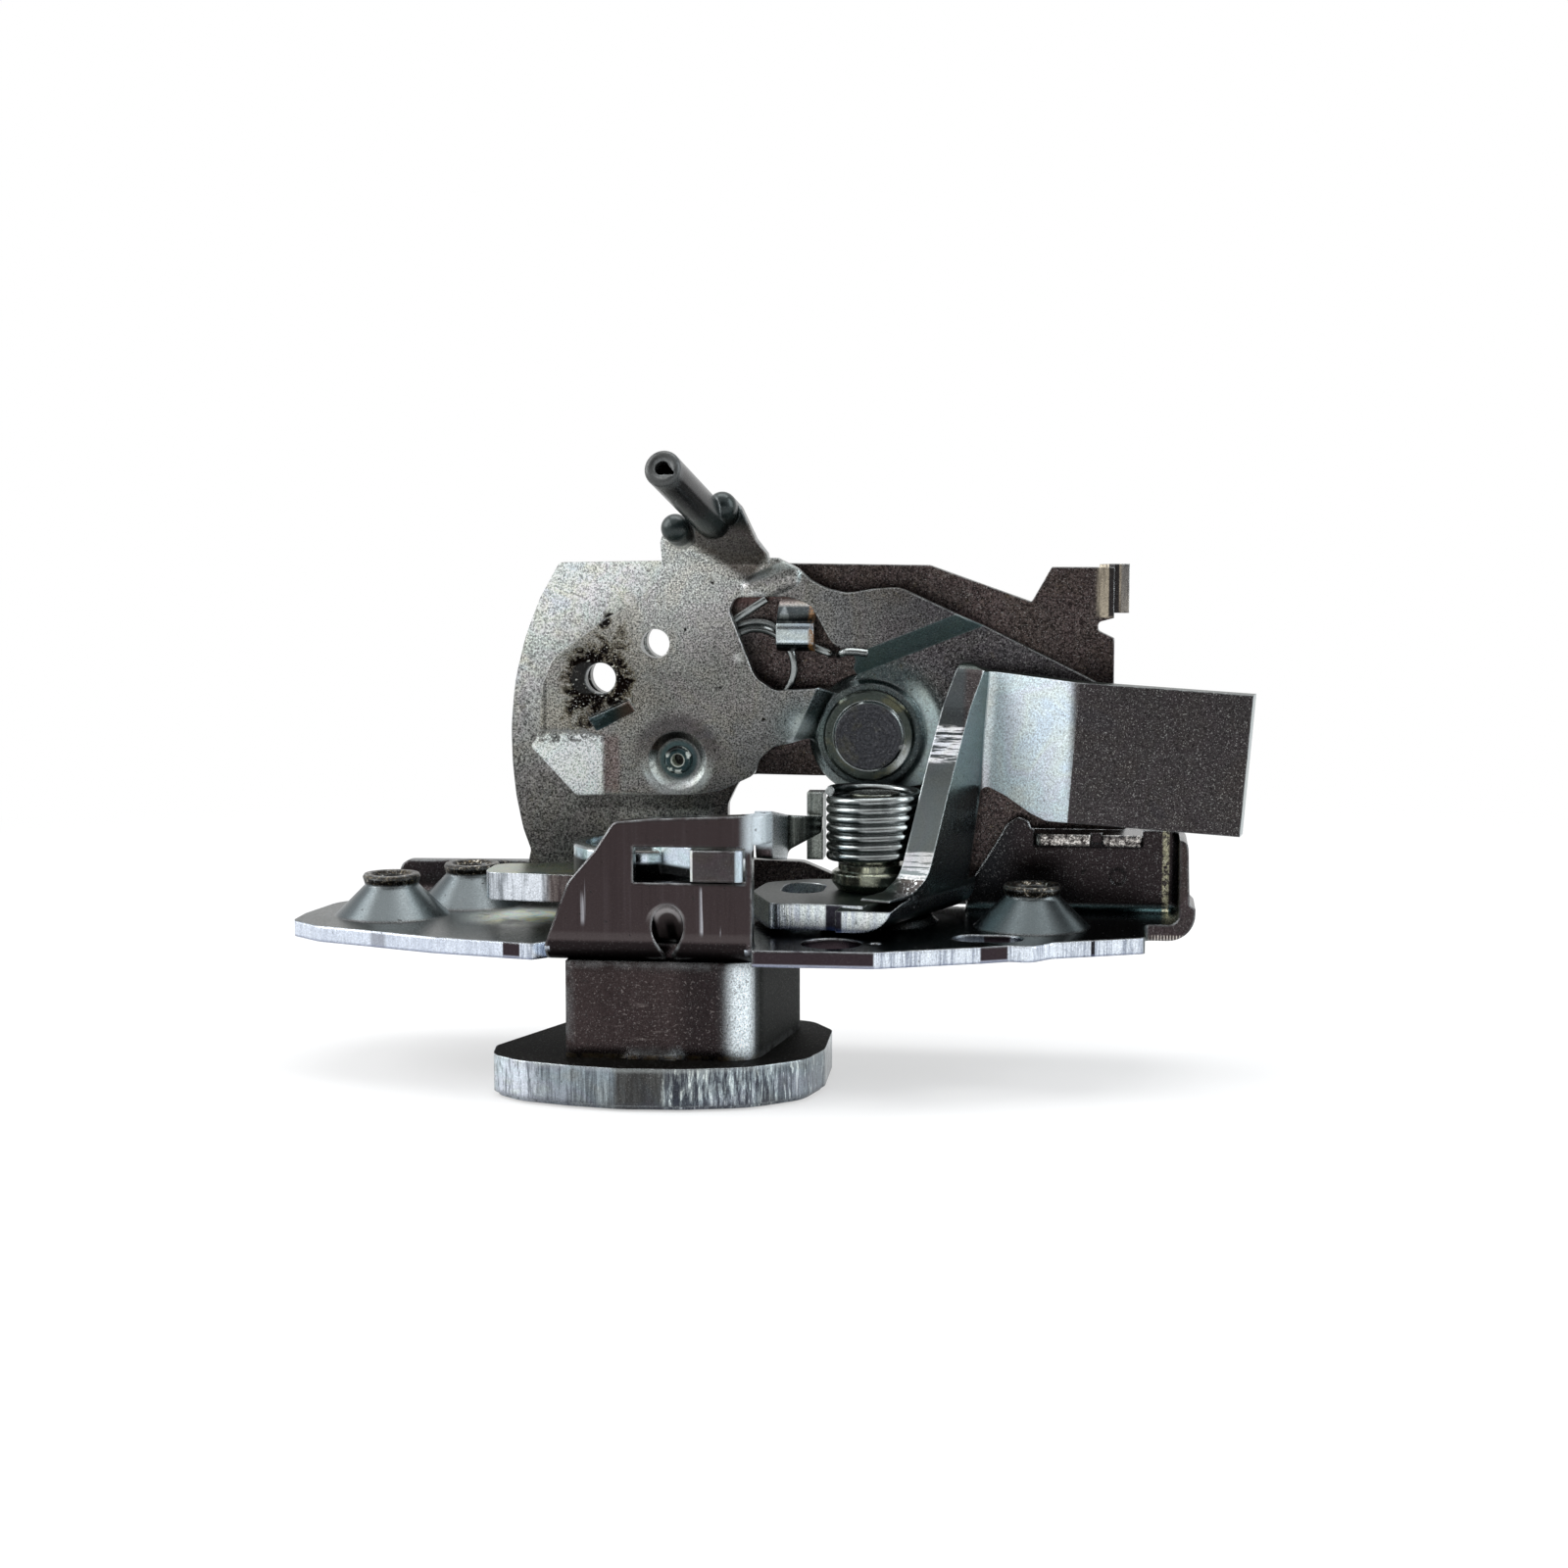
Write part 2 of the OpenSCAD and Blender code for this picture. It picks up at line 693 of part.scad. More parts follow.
module pull_lever() {
    color(pale)
        difference() {
            union() {
                difference() {
                    flat(foot_outline, foot_z, pull_t);
                    // room for the bend beyond the flat
                    translate([web_x, web_y, 0])
                        rotate([0, 0, -web_turn])
                            translate([-pull_t - pull_r, -30, -1])
                                cube([30, 60, 20]);
                }
                pull_bend();
                pull_upright();
            }
            translate([stud.x, stud.y, 0])
                cylinder(r = stud_r + run_gap, h = 12);
            // oval hole in the foot
            translate([-7.3, 6, 0])
                linear_extrude(12)
                    union() {
                        circle(3);
                        translate([-3, 0])
                            square([6, 4]);
                        translate([0, 4])
                            circle(3);
                    }
        }
}

module pull_stud() {
    color(steel)
        translate([stud.x, stud.y, 0]) {
            translate([0, 0, foot_z])
                cylinder(r = stud_r, h = 20 - foot_z);
            translate([0, 0, 0.1])
                cylinder(r = stud_r - 0.5, h = 5);
            translate([0, 0, 0.1])
                cylinder(r = stud_r + 1.9, h = 0.8);
        }
}

module pull_collar() {
    color(steel)
        translate([stud.x, stud.y, 0])
            difference() {
                union() {
                    // waisted foot, clear of the lever's bend
                    translate([0, 0, foot_top + 0.08])
                        cylinder(r1 = 5, r2 = collar_r, h = 1.1);
                    translate([0, 0, foot_top + 1.17])
                        cylinder(r = collar_r, h = collar_top - foot_top - 1.77);
                    translate([0, 0, collar_top - 0.6])
                        cylinder(r1 = collar_r, r2 = collar_r - 0.4, h = 0.3);
                    translate([0, 0, collar_top - 0.6])
                        cylinder(r = 5, h = 1.3);
                }
                translate([0, 0, foot_top - 1])
                    cylinder(r = stud_r, h = 9);
            }
}

coil_z = collar_top + 0.75 + wire_r;
coil_pitch = (20.6 - collar_top - 0.75 - 2 * wire_r) / pull_turns;

module pull_spring() {
    r = coil_r - wire_r;
    turns = pull_turns + 0.25;
    path = concat(
        [[stud.x + 2, stud.y + r, coil_z], [stud.x + 1, stud.y + r, coil_z]],
        [for (i = [0 : 20 * turns])
            [stud.x + r * cos(90 + 18 * i), stud.y + r * sin(90 + 18 * i), coil_z + coil_pitch * i / 20]],
        [[stud.x - r, stud.y - 1.5, coil_z + coil_pitch * turns]]);
    color(pale)
        wire(path, wire_r, [0, 0, 1]);
}

// release lever and what is round it

release_outline = [
    [-28.3, 54.2], [-28.4, 51], [-28.8, 48.9, 1.5], [-32.5, 45.4, 4], [-36.6, 43.4, 3], [-44.4, 37.6, 4],
    [-46, 33.5, 3], [-46.3, 26.4, 0.6], [-47.2, 25.3, 0.6], [-40.8, 18.2, 1.5], [-24.5, 18.4, 6],
    [-20, 19.1, 5],
    [-15.4, 21.3, 1.5], [-14.6, 23.6, 1.5], [-12.6, 25.4, 1.5], [-7.2, 26.6, 1], [-6.5, 22, 5],
    [0.8, 18.7, 6], [9, 20, 4],
    [20, 25.5, 8], [34, 29.5, 3], [35, 33.4, 2], [31.5, 35.3, 2], [13.2, 44.3, 2], [5.1, 48, 4],
    [1.3, 47.7, 4],
    [-2.2, 47.1, 4], [-5.2, 47.8, 4], [-7.3, 48.9, 3], [-9.2, 50.6, 2], [-13.4, 52.7, 4],
    [-14.8, 54.7], [-17.2, 58.5],
    [-25, 58.5]
];

release_window = [
    [-18.9, 44.6, 1.2], [-18, 46.5, 1.4], [-10.2, 46.6, 4], [-7.2, 45.4, 2], [-4.2, 40, 3],
    [-0.8, 38.4, 1.2],
    [-1.6, 36, 1.5], [-6, 33.7, 5], [-12.4, 33.3, 2], [-15.2, 35.2, 3]
];

// joggle strip from p to q in X and Z, dropping back by the step of the lever
module slab(p, q) {
    run = q - p;
    step = rel_hub_y - rel_y;
    translate([p.x, 0, p.y])
        rotate([0, -atan2(run.y, run.x), 0])
            rotate([90, 0, 90])
                linear_extrude(norm(run))
                    polygon([[rel_y, eps], [rel_y, 0.8], [rel_y + rel_t, 0.8], [rel_y + rel_t, 0],
                        [rel_hub_y + rel_t, -3], [rel_hub_y + rel_t, -3.4], [rel_hub_y, -3.4],
                        [rel_hub_y, -3]]);
}

module release_sheet() {
    difference() {
        intersection() {
            upright(release_outline, 5, 20);
            union() {
                // raised part with the window
                upright([[-60, 10], [-60, 52], [20, 52], [20, 47], [-2.2, 38.2], [-6.4, 33.9],
                    [-10.1, 25.6], [-14, 10]],
                    rel_y, rel_t);
                slab([-2.2, 38.2], [20, 47]);
                slab([-14, 16.7], [-6.4, 33.9]);
                upright([[-1.1, 35.4], [24, 45.3], [50, 45], [50, 10], [-12, 10],
                    [-3.8, 32.7]], rel_hub_y, rel_t);
            }
        }
        // lower left facet is made apart
        upright([[-60, 10], [-36.7, 10], [-36.7, 26.6], [-60, 26.6]], rel_y - 1, rel_t + 2);
    }
}

module release_facet() {
    // corner of the lever bent towards the viewer about a vertical line
    intersection() {
        upright(release_outline, 5, 20);
        upright([[-60, 10], [-36.6, 10], [-36.6, 26.5], [-40, 27.4], [-60, 27.2]], 5, 20);
        translate([-36.6, rel_y, 0])
            rotate([0, 0, 9])
                translate([-20, 0, 0])
                    cube([20, rel_t, 60]);
    }
}

finger_a = [-20.6, 13.5, 57];
finger_b = [-24.2, -8, 64.3];

module along(a, b) {
    d = b - a;
    translate(a)
        rotate([0, 0, atan2(d.y, d.x)])
            rotate([0, 90 - asin(d.z / norm(d)), 0])
                children();
}

module release_finger() {
    long = norm(finger_b - finger_a);
    along(finger_a, finger_b)
        difference() {
            union() {
                cylinder(r = finger_r, h = long);
                // rounded end
                translate([0, 0, long])
                    rotate_extrude()
                        translate([finger_r - 0.7, 0])
                            circle(0.7);
                cylinder(r = finger_r - 0.7, h = long + 0.5);
            }
            translate([0, 0, long - 12])
                cylinder(r = finger_bore, h = 14);
            // seam of the roll, which opens the hole into a drop
            translate([0, 0, long - 12])
                rotate([0, 0, 65])
                    linear_extrude(14)
                        polygon([[0, -finger_bore], [0, finger_bore], [2, 0.15], [2, -0.15]]);
        }
    // curled shoulders each side of the root
    along([-18.4, 14.5, 58], [-19.2, 7.5, 60]) {
        cylinder(r = 2, h = 4.8);
        translate([0, 0, 4.8])
            sphere(2);
    }
    along([-25.2, 14.5, 55.2], [-26, 8.5, 56.9]) {
        cylinder(r = 2, h = 3.8);
        translate([0, 0, 3.8])
            sphere(2);
    }
    // top of the lever, leaning towards the viewer
    intersection() {
        sideways([[rel_y, 49.5], [rel_y + rel_t, 49.5], [rel_y + rel_t, 52], [13, 60.5], [10.9, 59.6],
            [rel_y, 51]], -30, 20);
        upright([[-28.3, 45], [-28.3, 54.2], [-27.2, 57.2, 1.5], [-17, 60.2, 1.5], [-14.8, 54.7],
            [-13.4, 52.7], [-12, 45]],
            5, 20);
    }
}

module release_lever() {
    color(steel)
        difference() {
            union() {
                difference() {
                    union() {
                        release_sheet();
                        release_facet();
                        release_finger();
                        // hub boss
                        ybar(pivot.x, pivot.y, boss_r - 0.9, rel_hub_y - 0.9, rel_hub_y + 1, boss_r + 0.6);
                        // back of the dish
                        ybar(-26.3, 23.3, 3, rel_y + rel_t, rel_y + rel_t + 0.9);
                        // stiffening bead above the window
                        intersection() {
                            along([-15.2, rel_y + 1.9, 47.6], [-8.6, rel_y + 1.9, 50.5])
                                union() {
                                    cylinder(r = 2.8, h = 5);
                                    sphere(2.8);
                                    translate([0, 0, 5])
                                        sphere(2.8);
                                }
                            translate([-20, 10, 40])
                                cube([20, rel_y - 9, 14]);
                            upright(release_outline, 5, 20);
                        }
                    }
                    upright(release_window, 5, 30);
                    // dish
                    ybar(-26.3, 23.3, 4.3, rel_y - 1, rel_y + eps);
                    ybar(-26.3, 23.3, 4.2, rel_y - eps, rel_y + 1, 3);
                    // holes
                    ybar(-29.4, 39.9, 2.05, 5, 30);
                    ybar(-37.3, 34.9, 2.2, 5, 30);
                    // lanced slot
                    upright([[-39.1, 29.3], [-33.3, 31.9], [-32.5, 30.2], [-37.9, 27.5]], 5, 20);
                }
                // tongue left in the lanced slot
                intersection() {
                    upright([[-38.9, 29.2], [-33.1, 31.8], [-32.3, 30.3], [-37.9, 27.3]], 5, 20);
                    translate([-38, rel_y - 0.1, 27.6])
                        rotate([0, -25, 0])
                            rotate([22, 0, 0])
                                translate([-5, 0, -2])
                                    cube([14, 1.3, 8]);
                }
            }
            ybar(pivot.x, pivot.y, pin_r + run_gap, 5, 30);
            ybar(-26.3, 23.3, 1.5, 5, 30);
        }
}

module main_rivet() {
    front = rel_hub_y - 0.95;
    color(pale)
        union() {
            ybar(pivot.x, pivot.y, pin_r, front - eps, back_y);
            ybar(pivot.x, pivot.y, pin_r - 0.5, front, back_y + back_t + 1);
            ybar(pivot.x, pivot.y, head_r - 0.4, front - 1, front - 0.7, head_r);
            ybar(pivot.x, pivot.y, head_r, front - 0.71, front);
            ybar(pivot.x, pivot.y, 4.7, front - 1.9, front - 1.5, 5);
            ybar(pivot.x, pivot.y, 5, front - 1.51, front - 0.9);
            ybar(pivot.x, pivot.y, 4.6, back_y + back_t, back_y + back_t + 1.2, 5);
        }
}

module eyelet_rivet() {
    color(pale)
        difference() {
            union() {
                ybar(-26.3, 23.3, 1.5, rel_y + 0.3, rel_y + rel_t + 1.3);
                ybar(-26.3, 23.3, 1.7, rel_y + 0.2, rel_y + 0.6, 2);
                ybar(-26.3, 23.3, 2, rel_y + 0.59, rel_y + 1);
                ybar(-26.3, 23.3, 2.2, rel_y + rel_t + 0.9, rel_y + rel_t + 1.4);
            }
            ybar(-26.3, 23.3, 0.9, rel_y - 1, rel_y + rel_t + 2);
        }
}

module toggle_spring() {
    c = [-15.5, 36.6];
    r = 5.1;
    y0 = rel_y + rel_t + 0.95;
    lift = 1;
    spread = 1.15;
    turn = 460;
    steps = 28;
    path = concat(
        [[-13.9, y0, 46.1], [-16.4, y0, 44.5], [-19, y0, 42.8], [-20.2, y0, 41.3], [-20.7, y0, 39.5]],
        [for (i = [0 : steps])
            let (a = 170 - turn * i / steps, q = r + spread * i / steps)
            [c.x + q * cos(a), y0 + lift * i / steps, c.y + q * sin(a)]],
        [[-8, y0 + 0.7, 39.6], [-5.2, y0 + 0.35, 38.6], [-4.2, y0 - 0.25, 38.3], [-3.6, y0 - 1.45, 38.3],
            [-3.2, y0 - 2.9, 38.6], [-2.6, y0 - 3.85, 38.9], [-1.2, y0 - 3.9, 39.1], [0.9, y0 - 3.9, 38.8]]);
    color(pale)
        wire(path, toggle_r, unit([0.12, 1, 0.35]));
}

module lock_lever() {
    t = 1.1;
    y0 = back_y - 0.35 - t;
    color(steel)
        difference() {
            union() {
                // tail round the rivet, arm out to the lug
                upright([[lock_pin.x - 2.5, lock_pin.y - 2, 1.5], [lock_pin.x - 2.5, lock_pin.y + 2.2, 2],
                    [lock_pin.x + 2.5, lock_pin.y + 2.4, 2], [-6.6, 47.9, 1], [-6.6, 46.2],
                    [-12.5, 46.2], [lock_pin.x + 3.5, lock_pin.y - 2.6, 2]], y0, t);
                // lug bent forward through the window of the release lever
                sideways([[y0, 46.8], [y0 + t, 46.8], [y0 + t, 45.4, 0.8], [rel_y + 1.3, 42.4, 0.8],
                    [rel_y + 1.3, 40.3, 0.4], [rel_y + 2.6, 39.7], [rel_y + 2.3, 38.8], [rel_y + 0.2, 39.6, 1.2],
                    [rel_y + 0.2, 42.9, 1.8], [y0, 46.1]], -12.2, 5.3);
            }
            ybar(lock_pin.x, lock_pin.y, 1.5 + run_gap, 10, 30);
        }
}

module lock_rivet() {
    color(pale)
        union() {
            ybar(lock_pin.x, lock_pin.y, 1.5, back_y - 2, back_y);
            ybar(lock_pin.x, lock_pin.y, 1.2, back_y - 2, back_y + back_t + 0.6);
            ybar(lock_pin.x, lock_pin.y, 2.4, back_y - 2.6, back_y - 1.8);
            ybar(lock_pin.x, lock_pin.y, 2.1, back_y + back_t, back_y + back_t + 0.7);
        }
}

base_plate();
back_plate();
bolt_box();
cover_plate();
box_posts();
rotor();
rotor_shaft();
shaft_collar();
cam_lever();
lock_hub();
pull_lever();
pull_stud();
pull_collar();
pull_spring();
main_rivet();
release_lever();
eyelet_rivet();
toggle_spring();
lock_lever();
lock_rivet();
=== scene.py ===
# %% [markdown]
# A door latch, dressed. The solids come packed from the CAD source and this lesson
# gives them the look of the real one: pressed sheet steel, zinc plated and passivated,
# handled and worn, with some grease left on it. We load the solids first and keep the
# size of the whole, because nothing that we add may make the latch bigger.

# %% load the solids
import math

import bpy
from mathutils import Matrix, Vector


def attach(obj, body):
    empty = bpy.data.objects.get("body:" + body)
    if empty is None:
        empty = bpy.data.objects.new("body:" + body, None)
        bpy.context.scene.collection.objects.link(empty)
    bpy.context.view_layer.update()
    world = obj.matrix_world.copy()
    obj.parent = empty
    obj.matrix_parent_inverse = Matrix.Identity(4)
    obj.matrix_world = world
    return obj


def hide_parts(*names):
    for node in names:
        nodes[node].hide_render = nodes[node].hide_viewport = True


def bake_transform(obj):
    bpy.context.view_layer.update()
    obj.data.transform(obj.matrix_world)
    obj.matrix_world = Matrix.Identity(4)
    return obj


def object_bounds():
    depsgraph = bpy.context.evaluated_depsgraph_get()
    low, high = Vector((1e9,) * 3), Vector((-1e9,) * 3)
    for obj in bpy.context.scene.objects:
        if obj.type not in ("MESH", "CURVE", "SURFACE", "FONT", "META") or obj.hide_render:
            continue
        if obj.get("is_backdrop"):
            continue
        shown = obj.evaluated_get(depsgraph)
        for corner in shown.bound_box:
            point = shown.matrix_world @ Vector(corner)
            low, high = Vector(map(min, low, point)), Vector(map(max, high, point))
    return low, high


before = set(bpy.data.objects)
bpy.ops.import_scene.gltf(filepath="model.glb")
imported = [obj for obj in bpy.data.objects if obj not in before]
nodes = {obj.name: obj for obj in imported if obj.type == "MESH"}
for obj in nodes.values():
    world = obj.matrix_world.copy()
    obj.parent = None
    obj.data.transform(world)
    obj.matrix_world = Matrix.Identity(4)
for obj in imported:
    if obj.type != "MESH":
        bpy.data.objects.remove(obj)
cad_low, cad_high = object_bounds()
MM = 0.001
print("solids:", len(nodes), "size in mm:", [round(v / MM, 1) for v in cad_high - cad_low])

# %% [markdown]
# The camera stands where the photographer stood: about 36 cm in front, seven degrees to
# the right and a hand's width above the latch, looking slightly down. A lens of 61 mm on
# a 36 mm sensor gives the same spread of lines.

# %% camera
CAMERA_AT = (0.034808, -0.357791, 0.0626)
CAMERA_TURN = (math.radians(83.56), 0, math.radians(7))
LENS = 61.425
SENSOR = 36
NEAREST = 0.01
bpy.ops.object.camera_add(location=CAMERA_AT, rotation=CAMERA_TURN)
camera = bpy.context.object
camera.data.lens = LENS
camera.data.sensor_width = SENSOR
camera.data.clip_start = NEAREST
bpy.context.scene.camera = camera
print("camera looks from", [round(v, 3) for v in camera.location])

# %% [markdown]
# A Value wraps one socket of a node, so that sums over the surface can be written like
# plain numbers. Ramps and bands turn a measure into a mask between 0 and 1.


# %% values
class Value:
    """A socket that can be added and multiplied like a number, and turned into a mask."""

    def __init__(self, tree, socket):
        self.tree = tree
        self.socket = socket

    def math(self, operation, *others):
        sockets = dict(enumerate((self, *others)))
        return self.tree.add("ShaderNodeMath", {"operation": operation}, sockets)

    def __add__(self, other):
        return self.math("ADD", other)

    def __mul__(self, other):
        return self.math("MULTIPLY", other)

    __radd__ = __add__
    __rmul__ = __mul__

    def __sub__(self, other):
        return self.math("SUBTRACT", other)

    def __rsub__(self, other):
        return (self * -1) + other

    def __pow__(self, other):
        return self.math("POWER", other)

    def __abs__(self):
        return self.math("ABSOLUTE")

    def most(self, other):
        return self.math("MAXIMUM", other)

    def ramp(self, low, high):
        """0 below low, 1 above high, smooth between; the other way round if low is the larger."""
        shape = {"interpolation_type": "SMOOTHSTEP"}
        span = {"Value": self, "From Min": low, "From Max": high}
        return self.tree.add("ShaderNodeMapRange", shape, span)

    def band(self, low, high, soft):
        """1 between low and high, fading out over soft."""
        return self.ramp(low - soft, low) * self.ramp(high + soft, high)


print("values can be added, multiplied and turned into masks")

# %% [markdown]
# A Tree holds one node tree. Its add method makes any node: first the kind, then the
# settings, then what goes into the sockets.


# %% node trees
class Tree:
    """A node tree with one way of adding a node."""

    def __init__(self, tree):
        self.tree = tree
        tree.nodes.clear()

    def add(self, kind, settings=None, inputs=None, out=0):
        node = self.tree.nodes.new(kind)
        for name, value in (settings or {}).items():
            if name == "stops":
                self.stops(node.color_ramp.elements, value)
            else:
                setattr(node, name, value)
        for place, value in (inputs or {}).items():
            self.feed(node.inputs[place], value)
        return Value(self, node.outputs[out]) if out is not None else node

    def stops(self, elements, wanted):
        while len(elements) < len(wanted):
            elements.new(0.5)
        for element, (place, colour) in zip(elements, wanted):
            element.position = place
            element.color = (*colour, 1)

    def feed(self, socket, value):
        if isinstance(value, Value):
            self.tree.links.new(value.socket, socket)
        elif socket.type == "RGBA":
            socket.default_value = (*value, 1)
        else:
            socket.default_value = value

    def mix(self, amount, first, second):
        return self.add("ShaderNodeMix", {"data_type": "RGBA"}, {0: amount, 6: first, 7: second}, out=2)

    def vector(self, operation, first, second):
        return self.add("ShaderNodeVectorMath", {"operation": operation}, {0: first, 1: second})

    def dot(self, first, second):
        """How far two directions agree, from -1 to 1."""
        return self.add("ShaderNodeVectorMath", {"operation": "DOT_PRODUCT"}, {0: first, 1: second}, out=1)

    def parts(self, vector):
        """The x, y and z of a vector, as three values."""
        return [self.add("ShaderNodeSeparateXYZ", {}, {0: vector}, out=i) for i in range(3)]


print("node trees are ready")

# %% [markdown]
# The surroundings. Metal shows what stands round it, so the studio matters as much as the
# colours. It is white on all sides, on a white floor, but for a dark flag behind the camera,
# as in a room where only the table is lit. Faces that look straight at us sink into brown
# because of it, and faces turned aside stay pale. The camera and the metal see the same
# white; the light that falls on the latch is set apart from it, at a plain level.


# %% surroundings
def both_seen(tree):
    """1 for what the camera sees, directly or in metal and glass; 0 for scattered light."""
    rays = [tree.add("ShaderNodeLightPath", out=i) for i in SEEN_RAYS]
    return rays[0].most(rays[1]).most(rays[2])


def studio_world():
    world = bpy.data.worlds.new("studio")
    bpy.context.scene.world = world
    world.use_nodes = True
    tree = Tree(world.node_tree)
    aim = tree.add("ShaderNodeTexCoord", out=0)
    toward = tree.dot(aim, FLAG)
    direct = tree.add("ShaderNodeLightPath", out=CAMERA_RAY)
    flag = toward.ramp(0.55, 0.9) * (1 - direct)
    shown = tree.mix(flag, WHITE, FLAG_SHOWN)
    fill = tree.mix(flag, OPEN_FILL, FLAG_FILL)
    colour = tree.mix(both_seen(tree), fill, shown)
    sky = tree.add("ShaderNodeBackground", {}, {"Color": colour, "Strength": 1.0})
    tree.add("ShaderNodeOutputWorld", {}, {"Surface": sky}, out=None)


CAMERA_RAY = 0
GLOSSY_RAY = 3
GLASS_RAY = 6
SEEN_RAYS = (CAMERA_RAY, GLOSSY_RAY, GLASS_RAY)
WHITE = (1, 1, 1)
FLAG = (0.2, -0.97, -0.1)
FLAG_SHOWN = (0.04, 0.034, 0.033)
OPEN_FILL = (0.66, 0.68, 0.7)
FLAG_FILL = (0.3, 0.29, 0.28)
studio_world()
print("studio: white all round, with a dark flag toward", FLAG)

# %% [markdown]
# Three large soft lights shape the faces, one from each side and one from above. The floor
# is partly grey paper near the latch, so that a soft shadow shows, and plain white far out.


# %% lights and floor
def soft_light(name, place, size, power, colour):
    bpy.ops.object.light_add(type="AREA", location=place)
    light = bpy.context.object
    light.name = name
    light.data.shape = "RECTANGLE"
    light.data.size, light.data.size_y = size
    light.data.energy = power
    light.data.color = colour
    light.rotation_mode = "QUATERNION"
    light.rotation_quaternion = light.location.to_track_quat("Z", "Y")


def pale_floor():
    bpy.ops.mesh.primitive_plane_add(size=FLOOR_SIZE, location=(0, 0, cad_low.z - FLOOR_GAP))
    floor = bpy.context.object
    floor.name = "floor"
    material = bpy.data.materials.new("floor_white")
    material.use_nodes = True
    tree = Tree(material.node_tree)
    place = tree.add("ShaderNodeTexCoord", out=3)
    far = tree.add("ShaderNodeVectorMath", {"operation": "LENGTH"}, {0: place}, out=1).ramp(0.1, 0.34)
    paper = tree.add("ShaderNodeBsdfPrincipled", {}, {"Base Color": PAPER, "Roughness": 0.9})
    lit = tree.add("ShaderNodeEmission", {}, {"Color": WHITE, "Strength": 1.0})
    white = both_seen(tree) * (far * 0.45 + 0.55)
    both = tree.add("ShaderNodeMixShader", {}, {0: white, 1: paper, 2: lit})
    tree.add("ShaderNodeOutputMaterial", {}, {"Surface": both}, out=None)
    floor.data.materials.append(material)
    floor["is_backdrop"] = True


FLOOR_SIZE = 8
FLOOR_GAP = 0.0002
PAPER = (0.86, 0.86, 0.86)
COOL = (0.93, 0.97, 1)
soft_light("light_left", (-0.62, -0.10, 0.42), (0.5, 0.6), 4.0, WHITE)
soft_light("light_right", (0.66, -0.06, 0.30), (0.35, 0.6), 2.6, COOL)
soft_light("light_top", (0.0, 0.12, 0.75), (0.7, 0.4), 3.0, WHITE)
pale_floor()
bpy.context.scene.view_settings.view_transform = "Standard"
print("studio: three soft lights and a floor")

# %% [markdown]
# Colours are written as they look on the real latch, 0 to 255. Front faces mirror the dark
# flag and come out about half as bright as the others, so seen() doubles their colours.


# %% colours
def shade(red, green, blue, lift=1.0):
    """A screen colour, 0 to 255, as the linear colour that shaders use."""
    return tuple(min(WHITEST, ((c / 255 + 0.055) / 1.055) ** 2.4 * lift) for c in (red, green, blue))


def seen(red, green, blue):
    """The colour that a front face needs to look like this one."""
    return shade(red, green, blue, FRONT_LIFT)


WHITEST = 0.93
FRONT_LIFT = 2.0
SATIN_LIFT = 1.1
SATIN_ROUGH = 0.42
SATIN_METAL = 0.35
print("a mid grey becomes", [round(part, 3) for part in shade(128, 128, 128)])

# %% [markdown]
# The bare surface of a finish. Everything is worked out in millimetres from the piece's own
# coordinates, so the pattern stays on the piece when it moves. A Bevel node rounds the sharp
# edges of the solids for the light, and its normal also tells where an edge is.


# %% surface
class Surface(Tree):
    """A material whose first colour is painted light and shade by facing, with a front, a side and a top
    colour, and with its own measures and patterns.
    """

    def __init__(self, name, front, side, top, rough=0.34, glitter=0.6, radius=0.3):
        self.material = bpy.data.materials.new(name)
        self.material.use_nodes = True
        super().__init__(self.material.node_tree)
        place = self.add("ShaderNodeTexCoord", out=3)
        facing = self.add("ShaderNodeTexCoord", out=1)
        self.at = self.vector("MULTIPLY", place, (1000, 1000, 1000))
        self.x, self.y, self.z = self.parts(self.at)
        self.nx, self.ny, self.nz = self.parts(facing)
        self.upright = abs(self.nz).ramp(0.7, 0.4)
        self.rounded = self.add("ShaderNodeBevel", {"samples": 4}, {"Radius": radius * MM})
        # painted light and shade: front, side and top faces get their own colours, for how the light falls
        # on them
        self.colour = self.mix(abs(self.nx).ramp(0.35, 0.8), front, side)
        self.colour = self.mix(abs(self.nz).ramp(0.6, 0.9), self.colour, top)
        cloud = self.noise(0.13, 3, 0.6)
        self.tone((cloud - 0.5) * 0.7 + 1)
        self.rough = (cloud - 0.5) * 0.1 + rough
        self.metal = 1.0
        self.glitter = glitter
        self.height = cloud * 0.02

    def noise(self, scale, detail=2, rough=0.5, stretch=None, twist=0.0, shift=None):
        at = self.at if stretch is None else self.vector("MULTIPLY", self.at, stretch)
        at = at if shift is None else self.vector("ADD", at, shift)
        values = {"Vector": at, "Scale": scale, "Detail": detail, "Roughness": rough, "Distortion": twist}
        return self.add("ShaderNodeTexNoise", {}, values)

    def tone(self, level):
        """Makes the colour so far lighter or darker."""
        self.colour = self.add("ShaderNodeVectorMath", {"operation": "SCALE"}, {0: self.colour, 3: level})

    def near(self, a, b, flat="xz"):
        """Distance from a point, in the plane of two axes."""
        first, second = (getattr(self, axis) for axis in flat)
        return ((first - a) ** 2 + (second - b) ** 2) ** 0.5

    def rounded_part(self, axis):
        """The x, y or z of the normal, as the rounded edges turn it."""
        return self.parts(self.rounded)["xyz".index(axis)]

    def tell(self, done):
        """Prints which layers are laid by now."""
        print(f"{self.material.name}: {done}, {len(self.tree.nodes)} nodes by now")


print("a surface can be measured")
